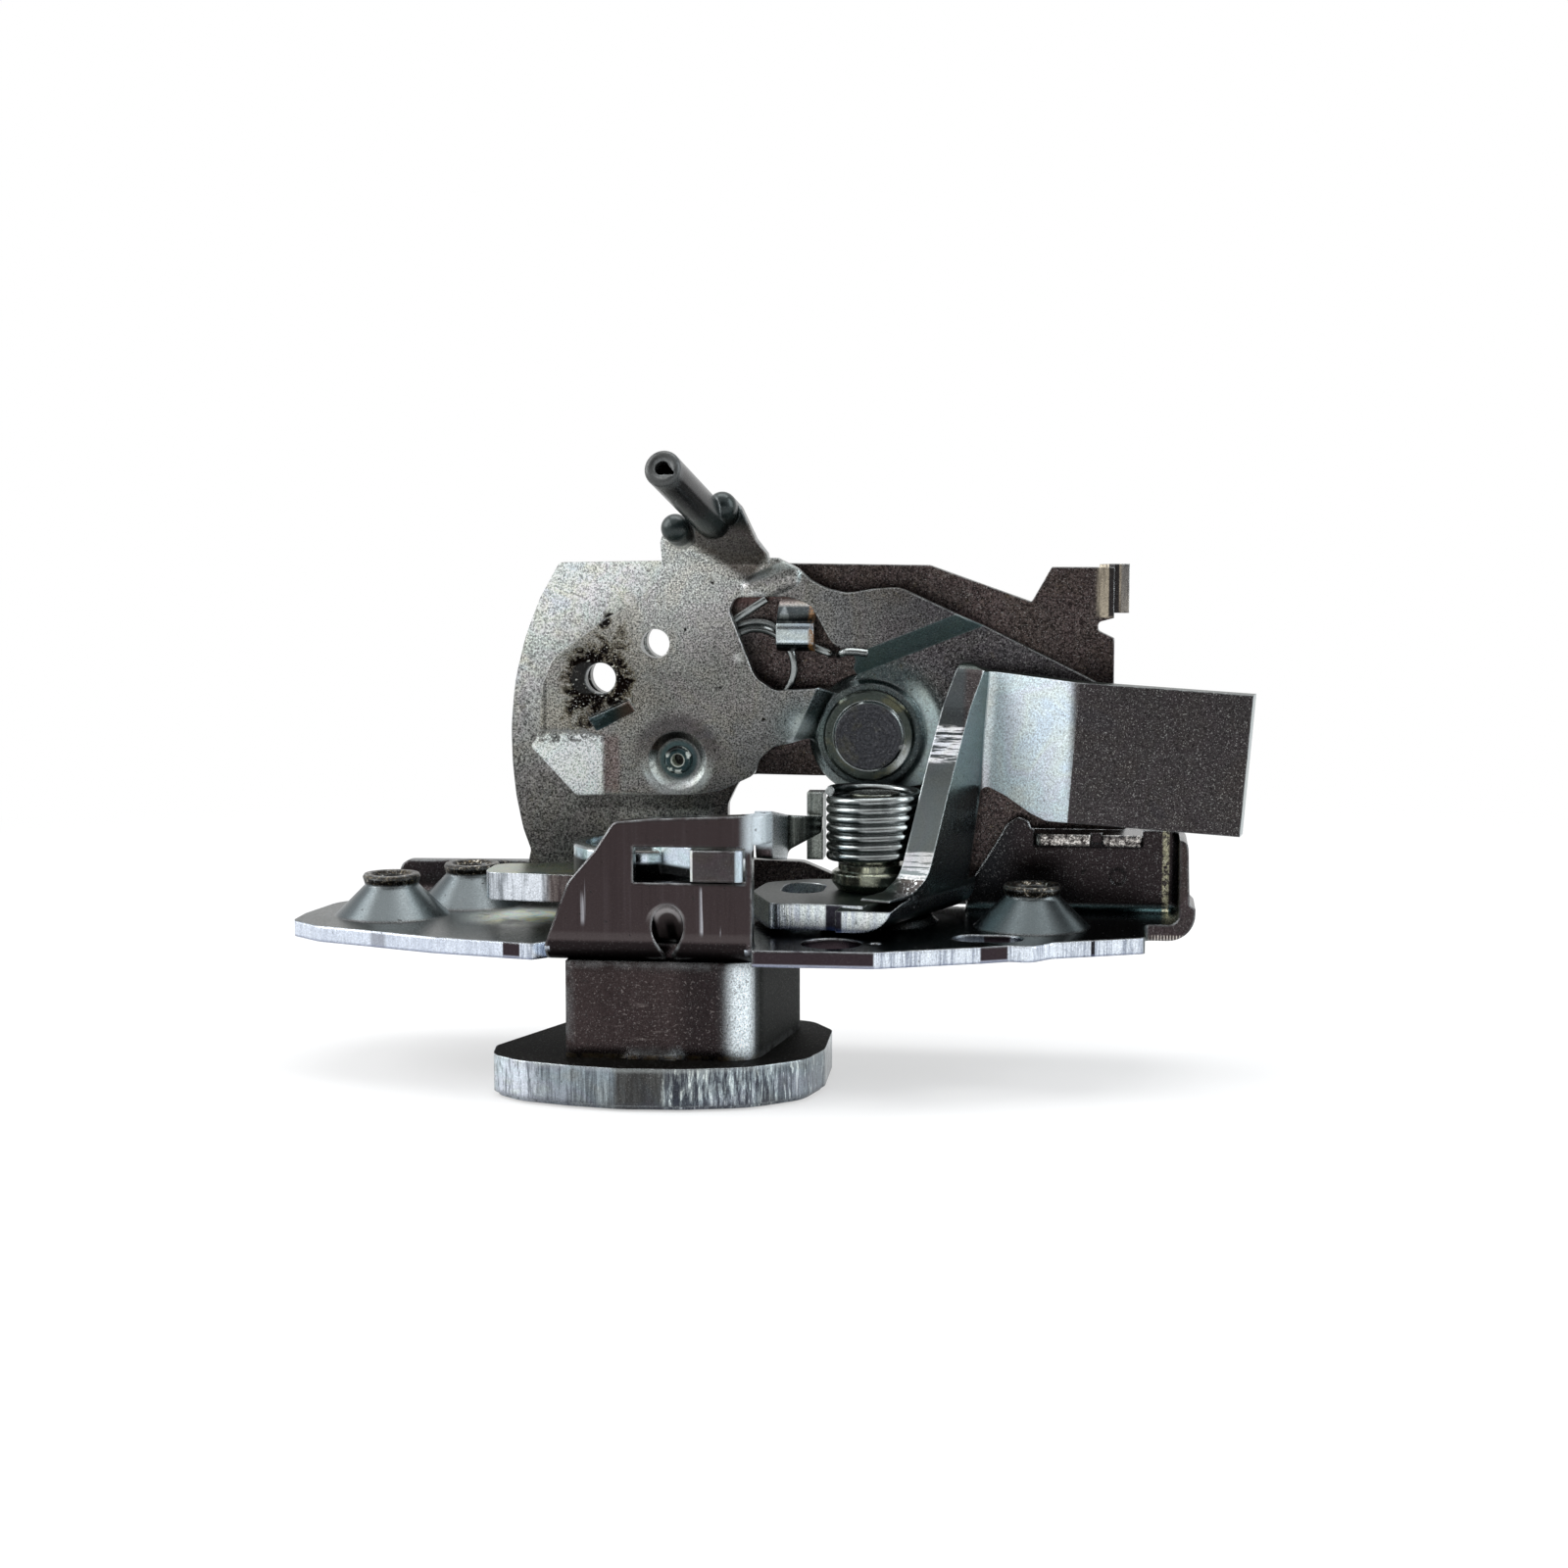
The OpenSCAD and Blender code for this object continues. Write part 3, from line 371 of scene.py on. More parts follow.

# %% [markdown]
# Layers. A wash lays one colour over a region and may change its gloss. On top of that come
# satin patches, mostly painted highlights and painted light, and the things that zinc plated
# steel shows: the thin colours of passivation, cut edges torn in fine lines, and the specks and dust of the
# bench.


# %% layers
class Layers(Surface):
    """Washes that lie over a surface, one on top of the other."""

    def blend(self, old, where, new):
        return where * (new - old) + old if not isinstance(old, Value) else old * (1 - where) + where * new

    def wash(self, where, colour, rough=None, metal=None, glitter=None):
        """Lays one colour over part of the surface, and may change its gloss, metal and glitter."""
        self.colour = self.mix(where, self.colour, colour)
        for name, value in (("rough", rough), ("metal", metal), ("glitter", glitter)):
            if value is not None:
                setattr(self, name, self.blend(getattr(self, name), where, value))

    def bright(self, where, red, green, blue, glitter=None):
        """Satin zinc that scatters the light instead of mirroring the flag: mostly painted highlights and
        painted lit patches, once bright wear.
        """
        self.wash(where, shade(red, green, blue, SATIN_LIFT), SATIN_ROUGH, SATIN_METAL, glitter)

    def passivate(self, amount, where=None, scale=0.09):
        """Thin bands of yellow, teal and rose, as the passivation leaves them."""
        drift = self.noise(scale, 3, 0.55, twist=0.6, shift=(31, 12, 8))
        bands = [(0.36, shade(226, 222, 176)), (0.45, shade(196, 224, 214)), (0.52, shade(214, 206, 216)),
                 (0.58, shade(220, 226, 190)), (0.66, shade(176, 206, 226))]
        tint = self.add("ShaderNodeValToRGB", {"stops": bands}, {0: drift})
        blend = {"data_type": "RGBA", "blend_type": "MULTIPLY"}
        tinted = self.add("ShaderNodeMix", blend, {0: 1.0, 6: self.colour, 7: tint}, out=2)
        self.colour = self.mix(amount if where is None else where * amount, self.colour, tinted)

    def sheared(self, where, along, pale, dark, fine=2.4):
        """A cut edge: bright, torn in fine lines that run through the sheet's thickness."""
        run = {"x": (0.08, 1, 1), "y": (1, 0.08, 1), "z": (1, 1, 0.08)}[along]
        lines = self.noise(fine, 2, 0.6, stretch=run)
        broad = self.noise(fine * 0.22, 1, 0.5, stretch=run, shift=(4, 9, 2))
        torn = self.mix((lines * 0.55 + broad * 0.45).ramp(0.36, 0.58), dark, pale)
        self.wash(where, torn, 0.26, None, 0.15)
        self.height = self.height + where * lines * 0.06

    def soiled(self, amount, seed=0):
        """Scattered dark specks and dust of the bench."""
        specks = self.noise(1.3, 1, 0.5, shift=(seed, 5, 17)).ramp(0.73, 0.77)
        dust = self.noise(0.2, 5, 0.75, shift=(seed, 2, 3)).ramp(0.58, 0.75)
        self.wash(dust * (amount * 0.3), shade(70, 62, 54), 0.5)
        self.wash(specks * amount, shade(16, 13, 12), 0.6, 0.2)


print("layers can be laid")

# %% [markdown]
# The last layer is the same on every piece: the crystals of the zinc, as strong as the finish
# says for that place, with painted glints on them, and edges rubbed a little bright. Then the shader is
# made.


# %% finish
class Finish(Layers):
    """A whole finish, from the bare surface to the shader."""

    def finish(self, rubbed=0.3, strength=0.5):
        """Adds crystals, painted glints and rubbed edges and makes the shader."""
        grain = self.noise(3.9, 1, 0.5)
        fine = self.noise(7.3, 0, 0.5, shift=(7, 3, 5))
        crystal = grain * 0.6 + fine * 0.4
        self.tone(((crystal - 0.5) * 8 * self.glitter + 1).most(0.2))
        # painted glints: pale specks for light caught by the crystals
        painted_glint = self.noise(5.2, 0, 0.5, shift=(3, 8, 1)).ramp(0.7, 0.76)
        self.wash(painted_glint * self.glitter * 0.45, (0.8, 0.8, 0.79))
        flat = self.add("ShaderNodeNewGeometry", out=3)
        turned = self.dot(self.rounded, flat)
        edge = turned.ramp(0.985, 0.82) * self.noise(0.45, 3, 0.7, shift=(5, 5, 5)).ramp(0.3, 0.6)
        self.wash(edge * rubbed, shade(190, 196, 198))
        height = self.height + grain * self.glitter * 0.014
        relief = {"Strength": strength, "Distance": MM, "Height": height, "Normal": self.rounded}
        values = {
            "Base Color": self.colour,
            "Roughness": (0.5 - crystal) * 0.25 + self.rough,
            "Metallic": self.metal,
            "Normal": self.add("ShaderNodeBump", {}, relief),
        }
        shader = self.add("ShaderNodeBsdfPrincipled", {}, values)
        self.add("ShaderNodeOutputMaterial", {}, {"Surface": shader}, out=None)
        return self.material


def wear(name, material):
    """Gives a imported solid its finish."""
    slots = nodes[name].data.materials
    if len(slots):
        for i in range(len(slots)):
            slots[i] = material
    else:
        slots.append(material)
    print("finished", name, "with", material.name)


print("a finish can be layered")

# %% [markdown]
# Places that the finishes and the springs need, in millimetres. The first five are x and z,
# as seen from the front; the others are x and y, as seen from above.

# %% places
EYELET = (-26.3, 23.3)
MAIN_RIVET = (0.8, 26.9)
LOCK_RIVET = (-22.5, 46)
DART = (-22.4, 5.4)
GREASE = (-37.6, 34.7)
STUD = (2.5, 8)
SHAFT = (-27.7, -1.5)
REFLECTION_PATCH = (-46, 5)
DIMPLES = ((-65.3, 5), (-56.5, 16.5), (24.4, 5.4))
print("the stud is", STUD[0] - SHAFT[0], "mm to the right of the shaft")

# %% [markdown]
# The base plate lies flat with its walls turned up. Its top is grey on the left, with one
# pale patch of painted reflection where the passivation shows yellow and teal, and sinks into
# blue black on the right. The pressed cones for the screws are smooth and bluish, with painted
# light and shade on their slopes by the way each faces, and a dark, worn collar round each
# hole that carries painted glints.

# %% base plate: top and cones
base = Finish("zinc_base", seen(48, 42, 43), shade(88, 96, 98), shade(52, 58, 58), 0.3, 0.3, 0.6)
flat_top = base.nz.ramp(0.6, 0.9) * base.z.ramp(3.4, 2.8)
base.wash(flat_top * base.x.ramp(-14, -8), shade(28, 40, 44), 0.2, None, 0.1)
behind_dart = base.x.ramp(6, 0) * base.x.ramp(-14, -8) * base.y.ramp(0, -6)
base.wash(flat_top * behind_dart, shade(26, 34, 46))
# painted reflection: a pale patch of the top where it mirrors bright surroundings
painted_reflection = flat_top * base.near(*REFLECTION_PATCH, "xy").ramp(10.5, 3)
base.bright(painted_reflection * base.noise(0.2, 2, 0.6, shift=(1, 7, 0)).ramp(0.25, 0.45), 255, 255, 246, 0.1)
base.passivate(1.0, painted_reflection, 0.3)
base.passivate(0.3)
cones = [base.near(x, y, "xy").ramp(9.8, 8.8) for x, y in DIMPLES]
cone = cones[0].most(cones[1]).most(cones[2]) * base.z.ramp(2.1, 2.6)
base.wash(cone, shade(92, 98, 100), 0.3, None, 0.06)
# painted light and shade on the cones: left-facing slopes and the right cone darker, right-facing slopes
# lighter
base.wash(cone * base.nx.ramp(-0.1, -0.6) * 0.5, shade(60, 72, 78))
base.wash(cone * base.x.ramp(0, 8) * 0.5, shade(52, 60, 62))
base.wash(cone * base.nx.ramp(0.4, 0.62) * 0.5, shade(120, 134, 138))
worn_or_lit = base.noise(1.3, 4, 0.75, twist=0.5)
collar = cone * base.z.ramp(6.5, 6.9)
base.wash(collar, shade(28, 25, 22), 0.4, None, 0.5)
base.wash(collar * worn_or_lit.ramp(0.52, 0.6), shade(104, 94, 76), 0.4)
# painted glints: pale specks on the collars
base.wash(collar * worn_or_lit.ramp(0.6, 0.64), shade(196, 196, 192), 0.25)
base.tell("top and cones")

# %% [markdown]
# The rear wall stands at the right: near black, with a painted teal sheen at its foot, a painted
# highlight along the drawn corner's bend, bright patches on its two lugs and bright teeth at the corner's
# foot.

# %% base plate: rear wall
at_end = base.nx.ramp(0.4, 0.8) * base.y.ramp(0, 12) * base.z.ramp(2.2, 3)
wall = base.y.ramp(12, 13).most(at_end) * base.x.ramp(14, 16)
base.wash(wall, seen(33, 29, 30), 0.26)
# painted sheen: a teal reflection along the wall's foot
base.wash(wall * base.z.ramp(3.6, 2.6) * 0.7, seen(44, 66, 68), 0.24)
base.wash(wall * base.x.ramp(24, 18) * 0.7, seen(17, 21, 23))
# painted highlight along the bend of the drawn corner
bend_highlight = base.x.band(42.4, 43.0, 0.3) * worn_or_lit.ramp(0.42, 0.56)
base.wash(wall * bend_highlight * 0.8, seen(128, 126, 106), 0.24)
lugs = base.y.band(12.6, 13.2, 0.2) * base.x.band(24.5, 39, 0.5) * base.z.band(12.5, 14.4, 0.3)
base.wash(lugs * worn_or_lit.ramp(0.4, 0.6), seen(150, 146, 142), 0.3, None, 0.9)
corner = base.x.ramp(40, 41.5) * base.z.ramp(3.5, 2.5)
teeth = (base.x * 15).math("SINE").ramp(0.0, 0.5) * base.z.ramp(0.9, 0.6)
base.wash(corner * teeth * base.ny.ramp(-0.4, -0.8) * 0.8, seen(150, 144, 138), 0.3)
base.tell("rear wall")

# %% [markdown]
# The front flange is smooth and brown, drawn in faint upright lines and rubbed pale at two
# places, with painted shade along its bend. The dart pressed into its bend has a painted highlight
# on its rim and painted shade in its slit. The strip at its right runs back over the plate,
# painted pale as lit where it turns and on its side, and its end shows a cut.

# %% base plate: front flange
front = base.y.ramp(-14.5, -15.5) * base.x.band(-39, -11.5, 0.3) * base.z.ramp(2.6, 3.4)
# painted shade along the bottom of the flange, where it bends into the plate
flange_bend_shade = base.y.ramp(-14.5, -15.2) * base.x.band(-38, -12, 0.3) * base.z.ramp(3.6, 2.9)
base.wash(flange_bend_shade, shade(36, 31, 32), 0.4, None, 0.1)
base.wash(front, shade(60, 52, 53), 0.18, None, 0.05)
drawn = base.noise(1.1, 2, 0.6, stretch=(1, 1, 0.04), shift=(3, 0, 0))
base.wash(front * drawn.ramp(0.56, 0.68) * 0.16, shade(84, 77, 80))
base.wash(front * drawn.ramp(0.44, 0.36) * 0.22, shade(44, 37, 38))
right_rub = base.x.band(-17.6, -12.6, 0.5) * base.z.band(4.6, 9.6, 1.0)
left_rub = base.x.band(-34.2, -33.2, 0.3) * base.z.band(6, 12, 1.2) * 0.7
rubbed = (right_rub + left_rub) * drawn.ramp(0.52, 0.6)
base.wash(front * rubbed, shade(168, 168, 174), 0.22)
ring = base.near(*DART)
dent = base.y.ramp(-12, -13) * ring.ramp(3.0, 2.7) * base.z.ramp(1.4, 2.4) * base.nz.ramp(-0.3, -0.5)
base.bright(dent, 76, 68, 68, 0.1)
# painted highlight on the dent's rim
base.bright(dent * ring.band(1.5, 2.1, 0.4) * base.z.ramp(4.9, 6.2), 176, 172, 172, 0.1)
# painted shade in the dent's slit
base.wash(dent * abs(base.x + 22.3).ramp(0.9, 0.3) * base.z.ramp(6.0, 4.4), shade(20, 15, 16), 0.5, 0.6)
# painted highlight: the arch of light round the dart
arch = base.y.ramp(-14.5, -15.5) * ring.band(2.1, 2.5, 0.3) * base.z.ramp(5.2, 7.2)
base.wash(arch * 0.7, shade(120, 116, 116), 0.2)
base.wash(front * base.z.band(3.2, 3.9, 0.5) * 0.35, shade(88, 82, 82))
# painted light where the strip turns, and on its side
strip = base.y.ramp(-12, -14) * base.z.ramp(14.6, 15.6) * base.x.ramp(-13.0, -11.2)
base.bright(strip, 186, 196, 202, 0.1)
strip_side = base.x.ramp(-10.6, -9.8) * base.nx.ramp(0.4, 0.8) * base.z.ramp(10, 11) * base.y.ramp(4, 2)
base.wash(strip_side, seen(126, 134, 138), 0.26, None, 0.1)
strip_end = base.x.band(-9.5, -3.5, 0.4) * base.y.band(3.5, 10, 0.4) * base.z.ramp(9, 10)
base.sheared(strip_end, "z", seen(96, 100, 96), seen(40, 44, 42), 1.6)
base.tell("front flange and strip")

# %% [markdown]
# The plate's own edge is sheared. It is bright where a facet of the outline meets the light
# and dark where it doesn't, so each dull stretch is given by where it starts and ends.

# %% base plate: cut edge
under_flange = base.x.band(-37.9, -12.2, 0.1)
edge = base.upright * base.z.ramp(2.2, 2.05) * base.x.ramp(39.6, 39.2) * (1 - under_flange)
base.sheared(edge, "z", shade(226, 234, 244), shade(158, 166, 180), 3.4)
base.wash(edge * base.x.ramp(-40, -46) * 0.75, shade(206, 214, 228), 0.24)
base.wash(edge * base.near(19, -2.6, "xy").ramp(8, 7) * 0.8, shade(46, 56, 66), 0.24)
dull = base.x.band(-44.6, -42.4, 0.2) + base.x.band(-11.6, 4.6, 0.3) + base.x.band(18.4, 21.6, 0.3)
dull = dull + base.x.band(-64, -62.5, 0.8) * 0.5
base.wash(edge * dull, shade(54, 46, 50), 0.2, None, 0.05)
base.wash(edge * dull * base.z.ramp(0.5, 0.25) * 0.7, shade(180, 186, 200))
base.wash(edge * base.x.band(32.6, 33.0, 0.1), shade(40, 40, 44))
base.wash(edge * base.z.ramp(0.45, 0.1) * 0.5, shade(96, 104, 140))
window = base.y.band(-18.4, -14, 0.3) * base.x.band(-28.5, -11, 0.3) * base.z.band(11.2, 15, 0.2)
base.wash(window * abs(base.ny).ramp(0.5, 0.3), shade(110, 116, 116), 0.25, None, 0.1)
base.soiled(0.6, 3)
wear("base_plate", base.finish(0.45))

# %% [markdown]
# The back plate is the sheet that everything else hangs on. Its upper left is painted as lit,
# a bright glitter with yellow and blue in it; lower down it dulls, and to the right it sinks into
# brown, painted shade away from the light. Its rear is plain grey.

# %% back plate: front and rear
back = Finish("zinc_back", seen(58, 51, 50), seen(120, 122, 122), seen(90, 90, 90), 0.36, 0.85)
fore = back.ny.ramp(0.3, -0.3)
back.wash(1 - fore, shade(112, 110, 107), 0.38, None, 0.4)
# painted light and shade: the left part lighter, the right left in brown
low = back.x.ramp(-14, -30) * fore
back.wash(low, seen(84, 83, 80))
# painted shade towards the left edge
back.wash(low * back.x.ramp(-36, -44) * 0.6, seen(64, 63, 62))
lit = low * back.z.ramp(7, 49) ** 1.8
# painted light on the upper left
back.bright(lit, 255, 255, 255, 0.6)
back.passivate(0.28, lit.ramp(0.35, 0.8), 0.12)
streaks = back.noise(0.5, 4, 0.7, stretch=(1, 1, 0.35)).ramp(0.58, 0.72)
back.wash(lit.ramp(0.2, 0.7) * streaks * 0.16, shade(120, 118, 116))
back.wash(fore * back.x.band(-34, -24, 3) * back.z.ramp(19, 15) * 0.9, seen(116, 116, 112))
# painted shadow under the release lever's lower edge
back.wash(fore * back.z.band(15.9, 17.6, 0.5) * back.x.band(-41, -23, 1.5) * 0.6, shade(60, 59, 57))
rubs = back.noise(0.9, 1, 0.4, stretch=(1, 1, 0.06), shift=(8, 0, 0)).ramp(0.55, 0.65)
back.wash(fore * back.x.ramp(-46, -49) * back.z.band(18, 36, 4) * rubs * 0.4, shade(70, 70, 72))
scuff = back.noise(0.7, 5, 0.75, stretch=(0.6, 1, 1.4), shift=(2, 2, 9)).ramp(0.58, 0.66)
back.wash(scuff * back.near(16, 47).ramp(9, 3) * fore * 0.5, seen(120, 118, 116))
back.passivate(0.2)
back.tell("front and rear")

# %% [markdown]
# Black grease lies round the lower of the two holes, on the lever and on the plate behind
# it, so one function lays it on either. It is brown and thin outside, thick and black inside,
# with painted glints on it, and painted shade darkens the left side of the hole.


# %% grease
def greased(finish, amount):
    """Black grease round the lower hole, thinning upwards and to the right, with painted glints and a
    painted shade crescent.
    """
    patchy = (finish.noise(0.5, 5, 0.7, twist=1.0, shift=(1, 4, 6)) - 0.5) * 2.8
    ring = finish.near(*GREASE).ramp(7.4, 3.2)
    trail = finish.near(-36.6, 42.9).ramp(1.8, 0.4).most(finish.near(-35.2, 40.0).ramp(5.0, 1) * 0.55)
    step = finish.near(-39.5, 30.4).ramp(5.5, 1.5) * 0.75
    spread = ring.most(trail).most(step)
    haze = (spread + patchy).ramp(0.25, 0.75)
    thick = (spread + patchy).ramp(0.74, 0.86)
    finish.wash(haze * 0.55 * amount, shade(104, 96, 70), 0.4)
    finish.wash((spread + patchy).ramp(0.5, 0.74) * 0.7 * amount, shade(44, 36, 27), 0.35)
    finish.wash(thick * amount, shade(14, 9, 7), 0.25, None, 0.6)
    # painted shade: a dark crescent at the left of the hole
    finish.wash(finish.near(-39.3, 34.9).ramp(2.5, 2.0) * amount, shade(7, 6, 5), 0.7, 0.4, 0.1)
    # painted glints on the glossy grease
    grease_glint = finish.noise(2.6, 0, 0.5, shift=(6, 2, 4)).ramp(0.71, 0.75)
    finish.wash(thick * grease_glint * amount * 0.8, shade(200, 200, 194), 0.2)
    finish.height = finish.height + thick * (patchy * 0.15 + 0.15) * amount


# painted shade: a dark line along the plate's left edge
left_edge_shade = back.rounded_part("x").ramp(-0.12, -0.5) * back.ny.ramp(-0.8, -0.95)
back.wash(left_edge_shade * 0.7, shade(72, 70, 66), 0.4)
greased(back, fore)
back.tell("grease")

# %% [markdown]
# The sheet's own edges are satin grey, and the stepped ear at the right shows its cut, with
# painted shade in its bend and painted light on its outer flange.

# %% back plate: edges and ear
rim = abs(back.ny).ramp(0.5, 0.3)
back.wash(rim * 0.95, shade(112, 113, 110), 0.3, None, 0.2)
ear = back.x.ramp(32.2, 32.8) * back.z.ramp(43.4, 44.0)
back.sheared(ear, "z", seen(140, 132, 118), seen(62, 58, 55), 1.6)
# painted shade in the ear's bend
back.wash(ear * back.x.band(34.3, 35.6, 0.15), seen(40, 38, 38))
# painted light on the ear's outer flange
back.wash(ear * back.x.ramp(35.8, 36.1) * 0.6, seen(104, 104, 104))
back.soiled(0.6, 8)
wear("back_plate", back.finish(0.5, 0.6))

# %% [markdown]
# The release lever is the big pressed piece in front of the back plate. It is an even grey
# glitter, painted lighter towards the finger that the hand pulls and darker to the right, as the
# light falls. Where the press drew it down round the rivet and the eyelet the metal is stretched
# smooth, with painted teal shade in the dishes and painted highlights on part of their rims;
# the small facet at its lower left catches the light.

# %% release lever: sheet and pressed rings
lever = Finish("zinc_lever", seen(98, 97, 95), seen(110, 118, 120), seen(96, 100, 100), 0.38, 0.75, 0.5)
# painted shade: darker to the right
lever.wash(lever.x.ramp(-12, 12), seen(60, 58, 60))
# painted light on the upper left, towards the finger
lever.bright(lever.near(-28, 57).ramp(24, 5) * lever.x.ramp(-6, -16) * 0.95, 196, 196, 195, 0.8)
# painted light on the left side
lever.wash(lever.x.ramp(-38, -44) * lever.z.ramp(24, 30) * 0.4, seen(134, 133, 128))
eye = lever.near(*EYELET)
# painted shade in the upper part of the eyelet's dish
lever.wash(eye.ramp(7.4, 5.6) * lever.z.ramp(21, 27) * 0.75, seen(54, 50, 52), 0.3, None, 0.3)
eye_ring = eye.band(3.2, 4.8, 0.9) * lever.z.ramp(24.5, 21)
uneven = lever.noise(0.35, 1).ramp(0.35, 0.6) * 0.4 + 0.5
# painted highlight on the lower rim of the eyelet's dish
lever.bright(eye_ring * uneven, 186, 192, 192, 0.2)
lever.wash(eye.ramp(3.2, 2.4), seen(46, 58, 60), 0.24, None, 0.1)
rivet_out = lever.near(*MAIN_RIVET)
dish = rivet_out.ramp(13, 9.5) * lever.y.ramp(15.9, 19.0)
# painted shade in the rivet's dish
lever.wash(dish * 0.8, seen(45, 55, 56), 0.26, None, 0.2)
dish_rim = rivet_out.band(8.7, 9.7, 1.0) * lever.x.ramp(4.6, 8) * lever.z.ramp(36, 30)
# painted highlight on the rivet dish's rim
lever.bright(dish * dish_rim, 216, 232, 234, 0.15)
lever.tell("sheet and pressed rings")

# %% [markdown]
# Folds and lips catch the light or lie in shade. Those under and over an edge follow the
# rounded normal, so they are thin lines along the sheet's outline.

# %% release lever: folds and lips
neck = lever.near(-8.7, 28.3)
lever.wash(neck.ramp(5.5, 1) * 0.6, seen(70, 84, 84), 0.26, None, 0.2)
lever.bright(neck.ramp(2.6, 0.4) * 0.75, 190, 200, 200, 0.1)
lever.bright(lever.near(-9.6, 25.6).ramp(1.6, 0.4) * 0.8, 214, 220, 220, 0.1)
lever.bright(lever.near(-17.7, 37.9).ramp(1.1, 0.2) * 0.7, 200, 200, 198, 0.3)
crease = lever.nz.ramp(-0.4, -0.6) * lever.z.ramp(33.5, 34.5) * lever.x.ramp(-3.5, -2.5)
lever.bright(crease * 0.85, 74, 94, 94, 0.3)
flat_front = lever.ny.ramp(-0.8, -0.95)
facet = lever.nx.ramp(0.06, 0.12) * lever.x.ramp(-36.6, -37.4) * lever.z.ramp(27.4, 26.6) * flat_front
lever.bright(facet, 232, 237, 240, 0.5)
lever.wash(abs(lever.x + 45.4).ramp(0.4, 0.1) * lever.z.band(27.5, 34.5, 0.8) * 0.6, shade(52, 52, 54))
lip = lever.nz.ramp(0.2, 0.4) * lever.z.ramp(46.5, 47.5) * lever.x.ramp(-8, -10) * lever.y.ramp(13, 14)
lever.wash(lip * 0.8, seen(104, 108, 108), 0.3, None, 0.2)
lever.bright(lever.near(-16.4, 50.6).ramp(1.6, 0.5) * 0.7, 190, 194, 192, 0.2)
tilt = lever.rounded_part("z")
under = tilt.ramp(-0.1, -0.5) * flat_front
lever.bright(under * lever.x.band(-34, -8, 3) * lever.z.ramp(27, 24) * 0.8, 206, 208, 206, 0.2)
over = tilt.ramp(0.12, 0.5) * flat_front
lever.wash(over * lever.x.ramp(-22, -26) * 0.7, shade(74, 71, 66), 0.4)
lever.wash(lever.x.band(-36.4, -35.2, 1.2) * lever.z.band(19.5, 26, 1.5) * 0.6, seen(80, 63, 62))
PITS = ((-20.1, 33.7), (-21.2, 48.5), (-25.1, 41.9), (-14.0, 29.3))
for x, z in PITS:
    lever.wash(lever.near(x, z).ramp(0.3, 0.14), shade(14, 12, 11), 0.6)
lever.tell("folds and lips")

# %% [markdown]
# Marks of use: the grease round the hole and dark spots at the top of the corner facet. Then
# the painted shadow that the finger throws on the sheet. The rolled finger itself is nearly
# black, with a painted highlight along its top.

# %% release lever: marks and finger
greased(lever, 1.0)
ramp = lever.nx.ramp(0.08, 0.12) * lever.nz.ramp(-0.2, -0.3) * lever.x.ramp(-28, -30)
lever.wash(ramp, lever.mix(lever.x.ramp(-36, -33), seen(46, 58, 60), seen(84, 70, 64)), 0.25, None, 0.3)
spots = lever.noise(1.2, 4, 0.7, shift=(6, 0, 0)).ramp(0.46, 0.56)
lever.wash(facet * lever.z.ramp(25.4, 26.2) * spots * 0.85, shade(40, 36, 32), 0.5)
across = (lever.x + 19) * 0.57 + (lever.z - 53.2) * 0.82
along = (lever.x + 19) * 0.82 - (lever.z - 53.2) * 0.57
shadow = across.ramp(-3.0, -1.4) * along.band(-5, 4.5, 1.2) * lever.y.ramp(10, 11)
lever.wash(shadow * 0.85, seen(56, 48, 45), 0.3, 1.0, 0.5)
finger = lever.y.ramp(13.4, 11.6) * lever.z.ramp(50, 53)
lever.wash(finger, shade(20, 21, 23), 0.24, None, 0.1)
# painted highlight along the top of the finger
lever.wash(finger * lever.nz.ramp(0.2, 0.8) * 0.5, shade(56, 58, 60))
lever.wash(finger * lever.y.ramp(-6.5, -8.5) * 0.7, shade(84, 86, 88), 0.3)
lever.wash(finger * lever.y.ramp(3, 6) * 0.5, shade(44, 58, 58), 0.24)
lever.wash(abs(lever.ny).ramp(0.5, 0.3) * lever.y.ramp(13, 14) * 0.85, shade(124, 127, 127), 0.3, None, 0.2)
lever.passivate(0.2)
lever.soiled(0.65, 21)
wear("release_lever", lever.finish(0.4, 0.6))

# %% [markdown]
# The pull lever is thicker stock. Its web shows us its sheared front edge with two bright
# burnished patches, the leaning side is teal grey, the angled part carries painted light where
# it faces the light, palest at its left, and the pad at the end is dark with painted glints on a fine even
# glitter.

# %% pull lever: web and angled part
pull = Finish("zinc_pull", seen(52, 48, 49), seen(66, 76, 78), shade(48, 58, 54), 0.34, 0.35)
side = pull.nx.ramp(0.6, 0.8) * pull.z.ramp(6.5, 8)
pull.wash(side, pull.mix(pull.y.ramp(9, 17), seen(108, 118, 120), seen(62, 74, 76)), 0.26, None, 0.12)
pull.wash(side * pull.z.ramp(16, 6) * 0.5, seen(54, 68, 68))
cut = pull.x.ramp(15.2, 14.2) * pull.ny.ramp(-0.5, -0.8) * pull.z.ramp(7.0, 8.5)
pull.wash(cut, pull.mix(pull.z.ramp(14, 32), shade(146, 154, 156), shade(74, 78, 80)), 0.34, None, 0.12)
burnish = pull.z.band(24.6, 29.2, 0.4) + pull.z.band(8.6, 12.4, 0.4)
rough_cut = pull.noise(2.2, 3, 0.7, stretch=(0.1, 1, 1))
pull.bright(cut * burnish * rough_cut.ramp(0.42, 0.54), 232, 232, 236, 0.1)
turned_left = pull.nx.ramp(-0.3, -0.42).most(pull.x.ramp(20, 19))
angled = turned_left * pull.z.ramp(15, 16) * pull.x.ramp(16.9, 17.4) * pull.ny.ramp(-0.6, -0.8)
